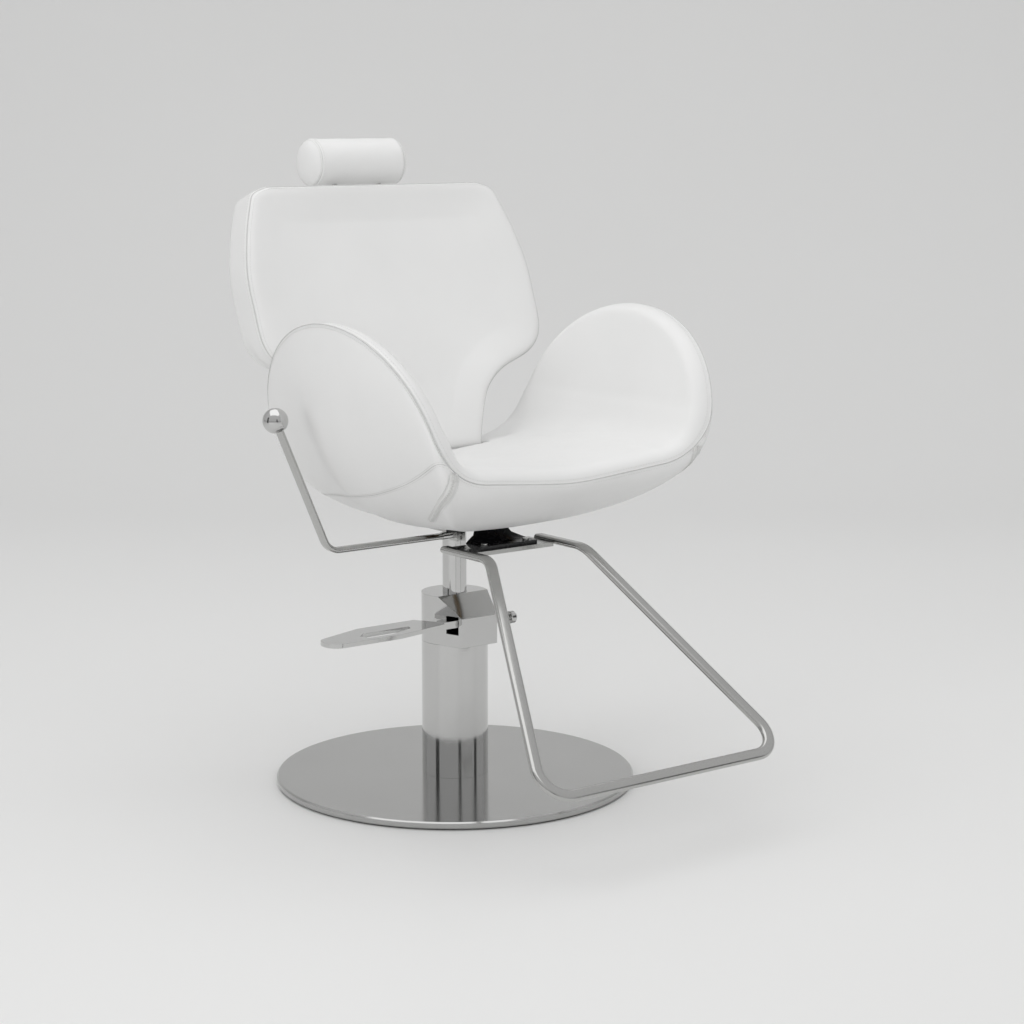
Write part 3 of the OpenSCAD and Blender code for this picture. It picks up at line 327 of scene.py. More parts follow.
def sheet(s, y, n):
    """Point at s across the seat's sheet, y along it and n above it."""
    s, y, n = (np.asarray(a, float) for a in (s, y, n))
    g = np.where(s < 0, -1.0, 1.0)
    a = np.abs(s)
    lift = (np.sqrt(s * s + FOLD_R ** 2) - a) * math.sin(SLOPE * D2R)
    flat, bend = a < S_FLAT, a < S_BEND
    ang = np.where(flat, SLOPE, np.where(bend, SLOPE + (a - S_FLAT) / BEND_R / D2R, WING_A)) * D2R
    c0 = S_FLAT * math.cos(SLOPE * D2R) - BEND_R * math.sin(SLOPE * D2R)
    c1 = FRONT_Z + S_FLAT * math.sin(SLOPE * D2R) + BEND_R * math.cos(SLOPE * D2R)
    wa = WING_A * D2R
    x = np.where(flat, a * math.cos(SLOPE * D2R), np.where(
        bend, c0 + BEND_R * np.sin(ang), c0 + BEND_R * math.sin(wa) + (a - S_BEND) * math.cos(wa)))
    z = np.where(flat, FRONT_Z + a * math.sin(SLOPE * D2R), np.where(
        bend, c1 - BEND_R * np.cos(ang), c1 - BEND_R * math.cos(wa) + (a - S_BEND) * math.sin(wa)))
    drop = REAR_DROP * ease((y - DROP_Y) / (SEAT_REAR - DROP_Y)) * (1 - np.minimum(1, a / S_WIDE) ** 2)
    return np.stack([g * (x - n * np.sin(ang) * np.minimum(1, a / 30.0)), y + 0 * x,
                     z + lift + n * np.cos(ang) - drop], -1)


def rim_loop(count):
    """The seam round the seat as (s, y), evenly spaced."""
    t = np.linspace(0, 1, 120, endpoint=False)
    front = np.stack([S_WIDE * t, -SEAT_FRONT - FRONT_BOW * t * t], 1)
    a = np.linspace(0, math.pi, 400)
    wing = np.stack([S_WIDE + WING_RISE * np.sin(a), WING_Y - WING_L * np.cos(a)], 1)
    b = 1 - np.linspace(0, 1, 121)[1:]
    rear = np.stack([S_WIDE * b, SEAT_REAR - (SEAT_REAR - WING_Y - WING_L) * b * b], 1)
    half = np.vstack([front, wing, rear])
    other = half[1:-1][::-1] * [-1, 1]
    loop = resample(np.vstack([half, other]), 3000, True)
    k = np.ones(61) / 61
    pad = np.vstack([loop[-30:], loop, loop[:30]])
    loop = np.stack([np.convolve(pad[:, i], k, "valid") for i in range(2)], 1)
    p = sheet(loop[:, 0], loop[:, 1], 0)
    q = np.hstack([p, loop])
    d = np.concatenate([[0], np.cumsum(np.linalg.norm(np.diff(np.vstack([p, p[:1]]), axis=0), axis=1))])
    tt = np.linspace(0, d[-1], count, endpoint=False)
    q = np.vstack([q, q[:1]])
    return np.stack([np.interp(tt, d, q[:, i]) for i in (3, 4)], 1)


def around(ang, w):
    """Blend of three values, for the front, the sides and the rear, at an angle round the bowl."""
    f = np.clip(np.cos(ang), 0, 1) ** 2
    r = np.clip(-np.cos(ang), 0, 1)
    return (w[0] * f + w[1] * (1 - f - r) + w[2] * r)[..., None]


def bowl(q, v):
    """Outer surface at seam point q = (s, y) and v from 0 at the seam to 1 at the opening."""
    q = np.asarray(q, float)
    r = sheet(q[..., 0], q[..., 1], 0)
    ang = np.arctan2(r[..., 0], -(r[..., 1] - RING_Y))
    b = np.stack([RING_A * np.sin(ang), RING_Y - RING_B * np.cos(ang), RING_Z + 0 * ang], -1)
    ox = r[..., 0] / OVAL_A
    oy = (r[..., 1] - WING_Y - OVAL_Y) / OVAL_B
    o = unit(np.stack([ox ** 3 / OVAL_A, oy ** 3 / OVAL_B, 0 * ox], -1))
    h = (r[..., 2] - RING_Z)[..., None]
    p1 = r + around(ang, BOWL_OUT) * h * o - around(ang, BOWL_DOWN) * h * np.array([0, 0, 1.0])
    p2 = b + around(ang, BOWL_FLAT) * (r - b)
    p2[..., 2] = RING_Z
    v = np.asarray(v, float)[..., None]
    return (1 - v) ** 3 * r + 3 * (1 - v) ** 2 * v * p1 + 3 * (1 - v) * v * v * p2 + v ** 3 * b


def bowl_normal(q, v, q2, e=0.01):
    """Outward direction of the bowl at (q, v); q2 is the next seam point."""
    a = bowl(q, v)
    n = unit(np.cross(bowl(q2, v) - a, bowl(q, np.asarray(v) + e) - a))
    out = a - BOWL_MIDDLE
    return n * np.sign((n * out).sum(-1, keepdims=True))


RIM = rim_loop(720)                  # seam points (s, y), their directions and the way in
RIM_NEXT = np.roll(RIM, -1, 0)
RIM_T = unit(np.roll(RIM, -1, 0) - np.roll(RIM, 1, 0))
RIM_IN = np.stack([-RIM_T[:, 1], RIM_T[:, 0]], 1)
if (RIM_IN[0] @ np.array([0, 1.0])) < 0:
    RIM_IN = -RIM_IN
NR = len(RIM)


def waves(p, size, amount):
    """Slow, smooth unevenness of a soft surface."""
    x, y, z = (p[..., i] / size for i in range(3))
    return amount * (np.sin(1.3 * x + 0.7 * y + 0.4) * np.sin(0.9 * y - 1.1 * z + 1.7)
                     + 0.5 * np.sin(2.3 * y + 1.9 * z) * np.sin(2.1 * x - 1.2 * z + 0.6))


# ---- outer cover
def cover_row(v):
    q = np.full(NR, v)
    return bowl(RIM, q), bowl_normal(RIM, np.clip(q, 0, 0.98), RIM_NEXT)


def build_cover():
    vs = np.concatenate([[0, 0.002, 0.006, 0.012, 0.02], np.linspace(0.035, 1, 60)])
    rows, inner = [], []
    for v in vs:
        p, n = cover_row(v)
        groove = -1.6 * math.exp(-(v / 0.005) ** 2)
        soft = waves(p, 70, 0.35) * min(1, v * 20) * (1 if v < 0.9 else 0)
        rows.append(p + n * (groove + soft[:, None]))
    for v in vs[::-1][::4]:
        p, n = cover_row(v)
        inner.append(p - n * COVER_T)
    o = mesh("seat_cover_skin", np.vstack(rows + inner), grid_faces(len(rows + inner), NR),
             LEATHER, "seat")
    fix_normals(o)
    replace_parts(o, "seat_cover")


build_cover()


def pad_height(s, y, d):
    """Thickness of the upholstery on the sheet, at distance d from the seam."""
    a = np.abs(s)
    wing = ease((a - 215) / 80.0)
    edge = np.sqrt(1 - (1 - np.clip(d / (27.0 - 5.0 * wing), 0, 1)) ** 2)
    h = (PAD_H + 3.0 + 10.0 * wing) * edge - 1.2 * np.exp(-(d / 1.5) ** 2)
    # the seat sinks towards the foot of the back and meets the wings in a soft fold
    h = h - 15.0 * ease((y + 190) / 235.0) * ease((262 - a) / 95.0) * ease(d / 70.0)
    fold_s = 150 + 92 * np.sqrt(np.clip((62 - y) / 330.0, 0, 1))
    fade = np.clip((y + 250) / 200.0, 0, 1) * np.clip((70 - y) / 20.0, 0, 1)
    h = h - 1.6 * fade * np.exp(-((a - fold_s) / 7.0) ** 2) * edge
    return h


def pocket(s, y):
    """Depth of the recess that the foot of the back stands in."""
    return 46 * ease((y - 49) / 6.0) * ease((114 - np.abs(s)) / 5.0) * ease((158 - y) / 8.0)


def build_inner():
    """The seat's upholstery: a top, an underside and walls round the edge and the pocket."""
    ds = np.array([0, 0.4, 1.0, 2.0, 3.5, 5.5, 8, 11, 15, 20, 26])
    rows_q, rows_d = [], []
    for d in ds:
        rows_q.append(RIM + RIM_IN * d)
        rows_d.append(np.full(NR, d))
    ring = RIM + RIM_IN * ds[-1]
    c = np.array([0.0, CENTRE_Y]) + 0 * ring
    span = np.linalg.norm(ring - c, axis=1)
    for w in np.linspace(0, 1, 76)[1:-1]:
        rows_q.append(ring * (1 - w) + c * w)
        rows_d.append(ds[-1] + span * w)
    q = np.array(rows_q)
    d = np.array(rows_d)
    s, y = q[..., 0], q[..., 1]
    h = pad_height(s, y, d)
    dip = pocket(s, y)
    flat = sheet(s, y, 0)
    sink = np.stack([0 * dip, 0 * dip, dip], -1)
    top = sheet(s, y, h + waves(flat, 90, 0.5) * np.clip(d / 20, 0, 1)) - sink
    bot = sheet(s, y, -np.minimum(UNDER, 0.3 * d)) - sink
    rows = len(q)
    deep = dip > 40                  # left open, for the foot of the back
    pts = list(top.reshape(-1, 3)) + list(bot.reshape(-1, 3))
    centre_top = len(pts)
    hc = pad_height(0.0, CENTRE_Y, 220.0)
    pts += [sheet(0.0, CENTRE_Y, hc), sheet(0.0, CENTRE_Y, -UNDER)]
    off = rows * NR
    faces, edges = [], {}

    def add(f):
        faces.append(f)
        faces.append(tuple((i + off) if i < off else i + 1 for i in f[::-1]))
        for a, b in zip(f, f[1:] + f[:1]):
            edges[(a, b)] = edges.get((a, b), 0) + 1

    for i in range(rows - 1):
        for j in range(NR):
            k = (j + 1) % NR
            if deep[i, j] and deep[i, k] and deep[i + 1, k] and deep[i + 1, j]:
                continue
            add((i * NR + j, i * NR + k, (i + 1) * NR + k, (i + 1) * NR + j))
    for j in range(NR):
        k = (j + 1) % NR
        add(((rows - 1) * NR + j, (rows - 1) * NR + k, centre_top))
    for (a, b) in list(edges):
        if (b, a) not in edges:
            faces.append((b, a, a + off if a < off else a + 1, b + off if b < off else b + 1))
    used = sorted({i for f in faces for i in f})
    renum = {u: k for k, u in enumerate(used)}
    o = mesh("seat_upholstery", [pts[u] for u in used], [tuple(renum[i] for i in f) for f in faces],
             LEATHER, "seat")
    fix_normals(o)
    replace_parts(o, "seat_cushion", "left_wing_pad", "right_wing_pad", "rear_pads")


build_inner()


def rim_row(d):
    """Points and normals on the upholstery at distance d from the seam, all round."""
    def row(at, above=0.0):
        s, y = (RIM + RIM_IN * at).T
        return sheet(s, y, pad_height(s, y, at) + above)

    p = row(d)
    t = unit(np.roll(p, -1, 0) - np.roll(p, 1, 0))
    n = unit(np.cross(t, row(d + 0.5) - p))
    up = row(d, 1.0) - p
    n = n * np.sign((n * up).sum(-1, keepdims=True))
    return p, n


def bowl_row(mm):
    """Points and normals on the cover at mm from the seam, all round."""
    e = 0.01
    v = np.zeros(NR)
    v = mm * e / np.linalg.norm(bowl(RIM, v + e) - bowl(RIM, v), axis=1)
    return bowl(RIM, v), bowl_normal(RIM, v, RIM_NEXT)


def close(p, n):
    """A loop and its normals with the first point repeated at the end."""
    return np.vstack([p, p[:1]]), np.vstack([n, n[:1]])


tube("rim_seam", bowl(RIM, np.zeros(NR)), 0.8, SEAM, "seat", closed=True)
stitches("rim_stitches", [close(*rim_row(1.1)), close(*bowl_row(5.0))], "seat")


# ---- outer double seam and zips
def smooth_path(p, k):
    """The path p averaged over k points."""
    w = np.ones(k) / k
    h = k // 2
    pad = np.vstack([np.repeat(p[:1], h, 0), p, np.repeat(p[-1:], h, 0)])
    return np.stack([np.convolve(pad[:, i], w, "valid") for i in range(p.shape[1])], 1)


def shifted(p, n, mm):
    """The path p moved sideways along the surface by mm."""
    t = unit(np.gradient(p, axis=0))
    return p + np.cross(n, t) * mm


# height of the low seam at each y
BAND = np.array([(-331, 600), (-270, 574), (-209, 551), (-155, 534), (-102, 519), (-10, 504), (83, 493),
                 (180, 484)])


def build_band_path():
    """The low seam round the bowl: where each column of the cover passes the height BAND."""
    vs = np.linspace(0, 0.95, 240)
    grid = np.array([bowl(RIM, np.full(NR, v)) for v in vs])
    above = grid[..., 2] - np.interp(grid[..., 1], BAND[:, 0], BAND[:, 1])
    keep, out = [], []
    for j in range(NR):
        if above[0, j] > 0 and (above[:, j] < 0).any():
            k = int(np.argmax(above[:, j] < 0))
            f = above[k - 1, j] / (above[k - 1, j] - above[k, j])
            keep.append(j)
            out.append(vs[k - 1] + f * (vs[k] - vs[k - 1]))
    out = smooth_path(np.array(out)[:, None], 15)[:, 0]
    return RIM[keep], out, RIM_NEXT[keep]


band_q, band_v, band_next = build_band_path()
band_n = bowl_normal(band_q, band_v, band_next)
band_p = smooth_path(bowl(band_q, band_v), 7)
tube("band_seam", band_p + band_n * 0.1, 0.5, SEAM, "seat")
stitches("band_stitches", [(shifted(band_p, band_n, 3.2), band_n), (shifted(band_p, band_n, -3.2), band_n)],
         "seat")


def build_zip(name, side):
    """A zip down a front corner of the cover, from the seam towards the opening."""
    rows = 60
    vs = np.linspace(0.02, 0.7, rows)
    j = (NR * 0.1 + 109 * vs ** 2) * side           # where it crosses the seam's columns on its way down

    def rim_at(k):
        return np.stack([np.interp(k % NR, np.arange(NR + 1), np.append(RIM[:, i], RIM[0, i]))
                         for i in range(2)], 1)

    qs = rim_at(j)
    p = bowl(qs, vs)
    n = bowl_normal(qs, vs, rim_at(j + 1))
    t = unit(np.gradient(p, axis=0))
    b = np.cross(n, t)
    wide = np.linspace(7.5, 4.0, rows)[:, None]
    profile = ((-1, 0.1), (-0.98, 0.75), (-0.2, 0.9), (0.2, 0.9), (0.98, 0.75), (1, 0.1))
    tape = np.array([p + b * wide * off + n * lift for off, lift in profile])
    mesh(name + "_tape", tape.transpose(1, 0, 2).reshape(-1, 3), grid_faces(rows, len(profile), wrap=False),
         TAPE, "seat")
    tooth_pitch = 3.2
    count = int(length(p) / tooth_pitch)
    fine = resample(np.hstack([p, n, b]), count)
    along = unit(np.gradient(fine[:, :3], axis=0))

    def ring(k, plan, lift, g=1):
        """A four-sided ring at tooth k: its plan lies along and across the zip."""
        c, nn, bb = fine[k, :3], fine[k, 3:6], fine[k, 6:9]
        return [c + nn * lift + along[k] * du + bb * dv * g for du, dv in plan]

    tooth = ((-0.85, -2.6), (0.85, -2.6), (0.85, 1.2), (-0.85, 1.2))
    pts, faces = [], []
    for k in range(count):
        faces += box_faces(len(pts))
        for lift in (0.6, 2.0):
            pts += ring(k, tooth, lift, 1 if k % 2 else -1)
    mesh(name + "_teeth", pts, faces, ZIP, "seat", smooth=False)
    body = ((-5, -3.4), (5, -4.6), (5, 4.6), (-5, 3.4))
    pull = ((-6, -2.0), (3, -2.6), (3, 2.6), (-6, 2.0))
    pts = ring(2, body, 1.6) + ring(2, body, 4.2) + ring(2, pull, 4.3) + ring(2, pull, 5.3)
    mesh(name + "_slider", pts, box_faces(0) + box_faces(8), ZIP, "seat", smooth=False)
    stitch_gap = 2.2
    stitches(name + "_stitches", [(p + b * g * (wide + stitch_gap), n) for g in (1, -1)], "seat")


build_zip("zip_right", -1)
build_zip("zip_left", 1)


# ---------------------------------------------------------------- back
def back_point(x, h, k):
    """Point of the back at x across, h up its tilted front and k behind it."""
    x, h, k = (np.asarray(a, float) for a in (x, h, k))
    return np.stack([x + 0 * h, BACK_Y + h * math.sin(TILT) + k * math.cos(TILT),
                     BACK_Z + h * math.cos(TILT) - k * math.sin(TILT)], -1)


def catmull(p, n):
    out = []
    m = len(p)
    for i in range(m - 1):
        a, b, c, d = p[max(i - 1, 0)], p[i], p[i + 1], p[min(i + 2, m - 1)]
        for k in range(n):
            t = k / n
            out.append(0.5 * (2 * b + (c - a) * t + (2 * a - 5 * b + 4 * c - d) * t * t
                              + (3 * b - a - 3 * c + d) * t ** 3))
    out.append(p[-1])
    return np.array(out)


# right edge of the back: share of the half width, share of the height
EDGE = catmull(np.array([[0.355, 0], [0.41, 0.1], [0.5, 0.215], [0.646, 0.289], [0.88, 0.35], [0.985, 0.43],
                         [1, 0.57], [0.996, 0.69], [0.95, 0.82], [0.898, 0.915], [0.85, 0.975],
                         [0.745, 1.0]]), 10)
EDGE = resample(EDGE * [BACK_W, BACK_H], 131) / [BACK_W, BACK_H]
EDGE[:, 1] = np.maximum.accumulate(EDGE[:, 1] + np.arange(len(EDGE)) * 1e-6)
COLS = 81


ACROSS = np.linspace(-1, 1, COLS)
ACROSS = np.sign(ACROSS) * (1 - (1 - np.abs(ACROSS)) ** 1.35)


def back_from(k):
    """How far the lower edge rises at depth k."""
    return 24.0 * float(ease((k - 28) / 16.0))


def back_rows(k, inset):
    """Half width and height of each row of the back at depth k."""
    low = back_from(k)
    return (BACK_W - inset) * EDGE[:, 0], low + inset + (BACK_H - low - 2 * inset) * EDGE[:, 1]


def back_loop(k, inset):
    """Outline of the back at depth k, as a closed loop of (x, h): up the right side, across the top, down."""
    x, h = back_rows(k, inset)
    right = np.stack([x, h], 1)
    top = np.stack([x[-1] * ACROSS[-2:0:-1], np.full(COLS - 2, h[-1])], 1)
    bottom = np.stack([x[0] * ACROSS[1:-1], np.full(COLS - 2, h[0])], 1)
    return np.vstack([right, top, right[::-1] * [-1, 1], bottom])


# depth and inset of each loop down the side of the back
SIDE = [(4.6, 0.2), (5.6, -0.8), (7.5, -1.6), (11, -2.2), (17, -2.6), (25, -2.8), (34, -2.8), (43, -2.6),
        (50, -2.6), (54, -2.2), (57, -1.4), (60, 0.0), (62.5, 2.2), (64.8, 5.6), (66.4, 10.5), (67.3, 17)]
SEAM_K = 4.0                         # depth of the front seam
PUFF, PUFF_R = 7.0, 17.0             # the front stands this far out of the seam, over this width
HOLLOW = 16.0                        # and hollows by this much in the middle


def quads(index):
    """Faces between the neighbours of a grid of point numbers."""
    return np.stack([index[:-1, :-1], index[:-1, 1:], index[1:, 1:], index[1:, :-1]], -1).reshape(-1, 4)


def edge_distance(x, h, loop):
    """Distance of each (x, h) from a closed loop."""
    a = loop
    b = np.roll(loop, -1, 0)
    p = np.stack([x, h], -1)[..., None, :]
    ab = b - a
    t = np.clip(((p - a) * ab).sum(-1) / np.maximum((ab * ab).sum(-1), 1e-9), 0, 1)
    return np.sqrt((((p - (a + t[..., None] * ab)) ** 2).sum(-1)).min(-1))


def build_back():
    rows = len(EDGE)
    w, h = (a[:, None] for a in back_rows(0, 0.0))
    x, h = w * ACROSS, h + 0 * ACROSS
    d = edge_distance(x.ravel(), h.ravel(), back_loop(0, 0.0)).reshape(x.shape)
    puff = PUFF * np.sqrt(1 - (1 - np.clip(d / PUFF_R, 0, 1)) ** 2)
    hollow = HOLLOW * (1 - np.clip(np.abs(x) / (w * 0.98), 0, 1) ** 2.2)
    hollow = hollow * ease(h / 130.0) * np.clip(d / 60.0, 0, 1) ** 0.7
    groove = 1.6 * np.exp(-(d / 1.6) ** 2)
    k = SEAM_K - puff + hollow + groove
    k = k + waves(back_point(x, h, k), 95, 0.6) * np.clip(d / 30, 0, 1)
    pts = list(back_point(x, h, k).reshape(-1, 3))
    index = np.arange(rows * COLS).reshape(rows, COLS)
    faces = [tuple(f) for f in quads(index)]
    ring = [(i, COLS - 1) for i in range(rows)] + [(rows - 1, j) for j in range(COLS - 2, 0, -1)] \
        + [(i, 0) for i in range(rows - 1, -1, -1)] + [(0, j) for j in range(1, COLS - 1)]
    prev = [index[rc] for rc in ring]
    n = len(ring)
    for depth, inset in SIDE:
        lp = back_loop(depth, inset)
        base = len(pts)
        pts += list(back_point(lp[:, 0], lp[:, 1], np.full(n, depth)))
        for a in range(n):
            b = (a + 1) % n
            faces.append((prev[a], prev[b], base + b, base + a))
        prev = list(range(base, base + n))
    # the rear face has a grid of its own inside the last loop
    depth, inset = SIDE[-1]
    w, h = (a[:, None] for a in back_rows(depth, inset))
    x, h = w * ACROSS, h + 0 * ACROSS
    crown = 1.2 * (1 - ACROSS ** 2) * ease((h - back_from(depth)) / 60.0)
    p = back_point(x, h, depth + crown)
    index = np.full((rows, COLS), -1)
    for a, rc in zip(prev, ring):
        index[rc] = a
    for i, j in zip(*np.nonzero(index < 0)):
        index[i, j] = len(pts)
        pts.append(p[i, j])
    faces += [tuple(f)[::-1] for f in quads(index)]
    o = mesh("back_upholstery", pts, [tuple(int(i) for i in f) for f in faces], LEATHER, "back")
    fix_normals(o)
    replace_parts(o, "back_pad", "back_cover")


build_back()


def loop_row(depth, inset):
    """Points and outward normals on the side of the back."""
    lp = back_loop(depth, inset)
    t = unit(np.roll(lp, -1, 0) - np.roll(lp, 1, 0))
    a = back_point(lp[:, 0], lp[:, 1], 0.0)
    b = back_point(lp[:, 0] + t[:, 1], lp[:, 1] - t[:, 0], 0.0)
    return back_point(lp[:, 0], lp[:, 1], np.full(len(lp), depth)), unit(b - a)


side_p, side_n = loop_row(8.6, -1.9)
seam_p, seam_n = loop_row(4.2, 0.1)
tube("back_seam", seam_p, 0.9, SEAM, "back", closed=True)
stitch_in = 4.0                      # the front row of stitches lies this far inside the seam
front_dir = back_point(0, 0, -1.0) - back_point(0, 0, 0.0)
front_lp = back_loop(0, stitch_in)
front_k = SEAM_K - PUFF * math.sqrt(1 - (1 - stitch_in / PUFF_R) ** 2)
front_p = back_point(front_lp[:, 0], front_lp[:, 1], np.full(len(front_lp), front_k))
front_n = unit(0.75 * front_dir + 0.66 * seam_n)
stitches("back_stitches", [close(side_p, side_n), close(front_p, front_n)], "back")
rear_p, rear_n = loop_row(57.5, 0.2)
tube("back_rear_seam", rear_p - rear_n * 0.2, 0.7, SEAM, "back", closed=True)


# ---------------------------------------------------------------- headrest roll
def build_roll():
    """The headrest: a turned profile of (x, radius) with a groove near each end for the seam."""
    prof = [(-97.0, 0.0), (-96.8, 9), (-96.0, 18), (-94.3, 25.5), (-91.6, 31.5), (-88.2, 36.2), (-85.6, 38.5),
            (-84.2, 39.0), (-83.5, 38.2), (-82.8, 39.3), (-81.4, 40.2), (-78, 40.4)]
    mid = [(x, 40.3 + 0.25 * math.cos(x / 78 * math.pi)) for x in np.linspace(-70, 70, 21)]
    full = 40.4
    prof = [(x, min(r, full)) for x, r in prof + mid + [(-x, r) for x, r in prof[::-1]]]
    sides = 96
    c = back_point(0, ROLL_H, ROD_K)
    pts = []
    for x, r in prof[1:-1]:
        for s in range(sides):
            a = 2 * math.pi * s / sides
            rr = r + 0.25 * math.sin(3 * a + x * 0.03) + 0.15 * math.sin(7 * a + x * 0.11)
            pts.append((c[0] + x, c[1] + rr * math.cos(a), c[2] + rr * math.sin(a)))
    n = len(prof) - 2
    faces = grid_faces(n, sides)
    pts += [(c[0] - 97.2, c[1], c[2]), (c[0] + 97.2, c[1], c[2])]
    e = n * sides
    for s in range(sides):
        q = (s + 1) % sides
        faces += [(q, s, e), ((n - 1) * sides + s, (n - 1) * sides + q, e + 1)]
    o = mesh("headrest_upholstery", pts, faces, LEATHER, "headrest")
    fix_normals(o)
    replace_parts(o, "headrest_roll")
    a = np.linspace(0, 2 * math.pi, 121)
    rows = []

    def hoop(x, r):
        return np.stack([c[0] + x + 0 * a, c[1] + r * np.cos(a), c[2] + r * np.sin(a)], 1)

    for g in (-1, 1):
        for x, r, lean in ((80.6, 40.5, 0), (86.6, 38.0, 0.5)):
            rows.append((hoop(g * x, r), unit(np.stack([0 * a + lean * g, np.cos(a), np.sin(a)], 1))))
        tube("roll_seam_" + ("r" if g < 0 else "l"), hoop(g * 83.5, 38.4)[:-1], 0.7, SEAM, "headrest",
             closed=True)
    stitches("roll_stitches", rows, "headrest", pitch=5.2)


build_roll()


# ---------------------------------------------------------------- metal bars
def fillet(p, r, n=14):
    """The corners of a path rounded to radius r."""
    p = [np.array(q, float) for q in p]
    out = [p[0]]
    for i in range(1, len(p) - 1):
        a, b = unit(p[i - 1] - p[i]), unit(p[i + 1] - p[i])
        half = math.acos(float(np.clip(a @ b, -1, 1))) / 2
        mid = unit(a + b)
        c = p[i] + mid * r / math.sin(half)
        sw = math.pi / 2 - half
        f = unit(b - (b @ mid) * mid)
        for k in range(n + 1):
            w = sw * (2 * k / n - 1)
            out.append(c + r * (math.cos(w) * -mid + math.sin(w) * f))
    out.append(p[-1])
    return np.array(out)


def oval(w, t, n=12):
    """Section of a flat bar with round edges, w wide and t thick."""
    r = []
    for g in (1, -1):
        for k in range(n + 1):
            a = math.pi * (k / n - g / 2)
            r.append((g * (w - t) / 2 + t / 2 * math.cos(a), t / 2 * math.sin(a)))
    return r


def sharpen_edges(bm, degrees):
    """Smooth faces, with the edges that fold by more than this kept sharp."""
    for f in bm.faces:
        f.smooth = True
    for e in bm.edges:
        e.smooth = not (len(e.link_faces) == 2 and e.calc_face_angle(0) > degrees * D2R)


def bar(name, path, section, thin, mat, body):
    """A section swept along a path; thin is the direction of its short side at each point."""
    p = np.asarray(path, float)
    m = len(p)
    t = unit(np.array([p[min(i + 1, m - 1)] - p[max(i - 1, 0)] for i in range(m)]))
    pts = []
    for i in range(m):
        v = unit(thin[i] - (thin[i] @ t[i]) * t[i])
        u = np.cross(v, t[i])
        for a, b in section:
            pts.append(p[i] + a * u + b * v)
    n = len(section)
    faces = grid_faces(m, n) + [tuple(range(n))[::-1], tuple((m - 1) * n + j for j in range(n))]
    o = mesh(name, pts, faces, mat, body)
    fix_normals(o)
    bm = bmesh.new()
    bm.from_mesh(o.data)
    sharpen_edges(bm, 40)
    bm.to_mesh(o.data)
    bm.free()
    return o


knee = np.array([95.0, -225.0, 419.0])
low = np.array([240.0, -546.0, 131.0])
right = [np.array([95.0, -106.0, 419.0]), knee, low]
left = [q * [-1, 1, 1] for q in right[::-1]]
foot_path = fillet(right + left, 42)
leg = unit(low - knee)
leg_n = unit(np.array([0, -leg[2], leg[1]]))
thin = []
for q in foot_path:
    w = float(ease((knee[1] - q[1] + 30) / 60))     # the flat of the bar turns over at the knee
    thin.append(unit((1 - w) * np.array([0, 0, 1.0]) - w * leg_n))
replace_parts(bar("footrest_tube", foot_path, oval(20, 10.5), thin, SATIN, "seat"),
            "footrest_bar")

ball = np.array([-368.0, -40.0, 641.0])
bend = np.array([-275.0, -40.0, 426.5])
inner_end = np.array([-56.0, -40.0, 426.5])
lever_path = fillet([inner_end, bend, ball - 16 * unit(ball - bend)], 30)
thin = [unit(np.array([-q[2], 0, q[0]])) for q in np.gradient(lever_path, axis=0)]
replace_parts(bar("lever_bar", lever_path, oval(17, 9), thin, SATIN, "handle"), "recline_lever")


def refined(node, mat, body, width=0.8, angle=30, segments=3):
    """A carried-over metal piece with its edges softly broken."""
    src = frame["nodes"][node]
    me = src.data.copy()
    bm = bmesh.new()
    bm.from_mesh(me)
    bmesh.ops.remove_doubles(bm, verts=bm.verts, dist=2e-6)
    bmesh.ops.dissolve_limit(bm, angle_limit=0.6 * D2R, verts=bm.verts, edges=bm.edges)
    sharpen_edges(bm, angle)
    bm.to_mesh(me)
    bm.free()
    for a in list(me.attributes):
        if a.name.startswith("custom_normal"):
            me.attributes.remove(a)
    o = link(bpy.data.objects.new(node + "_shown", me))
    me.materials.clear()
    me.materials.append(mat)
    if width:
        b = o.modifiers.new("edge", "BEVEL")
        b.width = width * MM
        b.segments = segments
        b.limit_method = "ANGLE"
        b.angle_limit = angle * D2R
        b.harden_normals = True
        b.use_clamp_overlap = True
    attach(o, body)
    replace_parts(o, node)
    return o


node_body = {n: b for b, ns in frame["record"]["behaviour"]["bodies"].items() for n in ns}
node_slot = {s["node"]: s["material_slot"] for s in frame["record"]["subparts"]}
# width of each piece's softened edges, mm
for name, width in (("pump_head", 0.9), ("pedal_lever", 1.4), ("lock_knob", 0.5), ("footrest_bracket", 0.8),
                    ("footrest_plate", 0.8), ("mount_plate", 0.8), ("lever_bracket", 0.6),
                    ("mount_bolts", 0.5), ("footrest_screws", 0.6), ("lever_ball", 0), ("column_cover", 0.3),
                    ("base_disc", 0.3), ("lift_post", 0.3), ("lever_shaft", 0.3)):
    m = {"base_disc": DISC}.get(name, BY_SLOT[node_slot[name]])
    refined(name, m, node_body[name], width)
for n, o in frame["nodes"].items():
    if not o.hide_render:
        o.data.materials.clear()
        o.data.materials.append(BY_SLOT[node_slot[n]])

# ---------------------------------------------------------------- stage
STAGE, st, sb = material("stage", (0.84, 0.84, 0.835), 0.5)
sb.inputs["Specular IOR Level"].default_value = 0.25
tint(st, sb, spread(st, noise(st, coords(st), 0.6, 2), 0, 1), (0.835, 0.835, 0.83), (0.845, 0.845, 0.84))
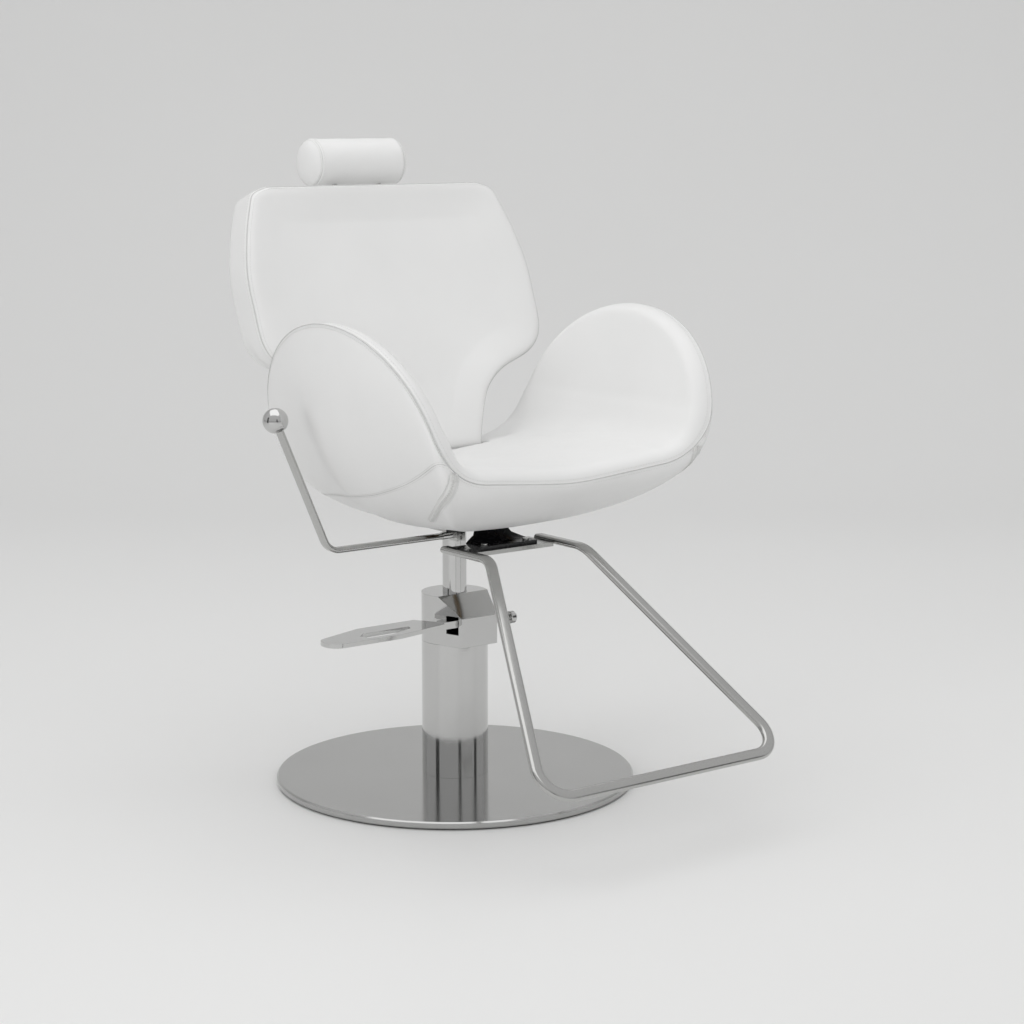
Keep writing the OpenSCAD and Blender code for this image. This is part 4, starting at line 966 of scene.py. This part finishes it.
# a floor that curves up into a backdrop: profile of (distance from the chair, height) in metres
COVE_D, COVE_R = 2.6, 2.2
prof = [(-6.0, 0.0), (COVE_D, 0.0)]
for a in np.linspace(0, 90, 25)[1:]:
    prof.append((COVE_D + COVE_R * math.sin(a * D2R), COVE_R - COVE_R * math.cos(a * D2R)))
prof.append((COVE_D + COVE_R, 7.0))
az = 37.4 * D2R                      # the backdrop faces the camera
half_floor = 9.0
pts = []
for d, z in prof:
    for x in (-half_floor, half_floor):
        pts.append((x * math.cos(az) + d * math.sin(az), -x * math.sin(az) + d * math.cos(az), z))
me = bpy.data.meshes.new("stage_floor")
me.from_pydata(pts, [], [(2 * i, 2 * i + 1, 2 * i + 3, 2 * i + 2) for i in range(len(prof) - 1)])
me.shade_smooth()
me.materials.append(STAGE)
floor = link(bpy.data.objects.new("stage_floor", me))


def area(name, pos, target, size, power, glossy=True):
    l = bpy.data.lights.new(name, "AREA")
    l.shape = "RECTANGLE"
    l.size, l.size_y = size
    l.energy = power
    o = link(bpy.data.objects.new(name, l))
    o.location = pos
    o.rotation_euler = (Vector(target) - Vector(pos)).to_track_quat("-Z", "Y").to_euler()
    o.visible_glossy = glossy
    return o


area("top_soft", (-0.2, 0.1, 3.6), (0, -0.1, 0), (4.2, 4.2), 44)
area("front_fill", (-3.2, -4.2, 2.2), (0, 0, 0.6), (3.2, 2.6), 44, glossy=False)
area("left_fill", (-4.6, -0.4, 1.6), (0, 0, 0.7), (2.6, 2.4), 34, glossy=False)
area("right_fill", (3.6, -2.6, 2.2), (0, 0, 0.6), (2.6, 2.6), 14, glossy=False)

world = bpy.data.worlds.new("studio")
bpy.context.scene.world = world
world.use_nodes = True
wt = world.node_tree
bg = wt.nodes["Background"]
tc = wt.nodes.new("ShaderNodeTexCoord")
sep = wt.nodes.new("ShaderNodeSeparateXYZ")
wt.links.new(tc.outputs["Generated"], sep.inputs["Vector"])
ramp = wt.nodes.new("ShaderNodeValToRGB")
stops = [(0.0, 0.5), (0.47, 0.42), (0.55, 0.62), (1.0, 0.72)]      # height of the direction, brightness
ramp.color_ramp.elements[0].position = stops[0][0]
ramp.color_ramp.elements[1].position = stops[-1][0]
for at, _ in stops[1:-1]:
    ramp.color_ramp.elements.new(at)
for e, (_, value) in zip(ramp.color_ramp.elements, stops):
    e.color = (value, value, value, 1)
half = wt.nodes.new("ShaderNodeMath")               # brings -1 to 1 into 0 to 1
half.operation = "MULTIPLY_ADD"
half.inputs[1].default_value = 0.5
half.inputs[2].default_value = 0.5
wt.links.new(sep.outputs["Z"], half.inputs[0])
wt.links.new(half.outputs["Value"], ramp.inputs["Fac"])
wt.links.new(ramp.outputs["Color"], bg.inputs["Color"])
bg.inputs["Strength"].default_value = 0.9


def card(name, azimuth, distance, width, height, base, shade):
    """A dark upright board out of view, for the metal to reflect."""
    a = azimuth * D2R
    c = Vector((math.sin(a) * distance, -math.cos(a) * distance, base))
    u = Vector((math.cos(a), math.sin(a), 0)) * width / 2
    top = Vector((0, 0, height))
    me = bpy.data.meshes.new(name)
    me.from_pydata([c - u, c + u, c + u + top, c - u + top], [], [(0, 1, 2, 3)])
    me.materials.append(material(name, (shade, shade, shade), 0.9)[0])
    o = link(bpy.data.objects.new(name, me))


card("stage_card_left", -100, 3.6, 0.9, 2.4, 0.0, 0.1)
card("stage_card_right", 38, 4.2, 0.8, 2.4, 0.0, 0.1)
card("stage_card_front", -20, 5.6, 1.0, 2.6, 0.0, 0.12)

cam_data = bpy.data.cameras.new("camera")
cam_data.lens = 82.38
cam_data.sensor_width = 36
cam_data.clip_end = 60
cam = link(bpy.data.objects.new("camera", cam_data))
cam.location = (-2.2505, -3.0996, 1.1104)
cam.rotation_euler = (80.291 * D2R, 0, -37.414 * D2R)
scene = bpy.context.scene
scene.camera = cam
scene.view_settings.view_transform = "Standard"
scene.view_settings.look = "None"
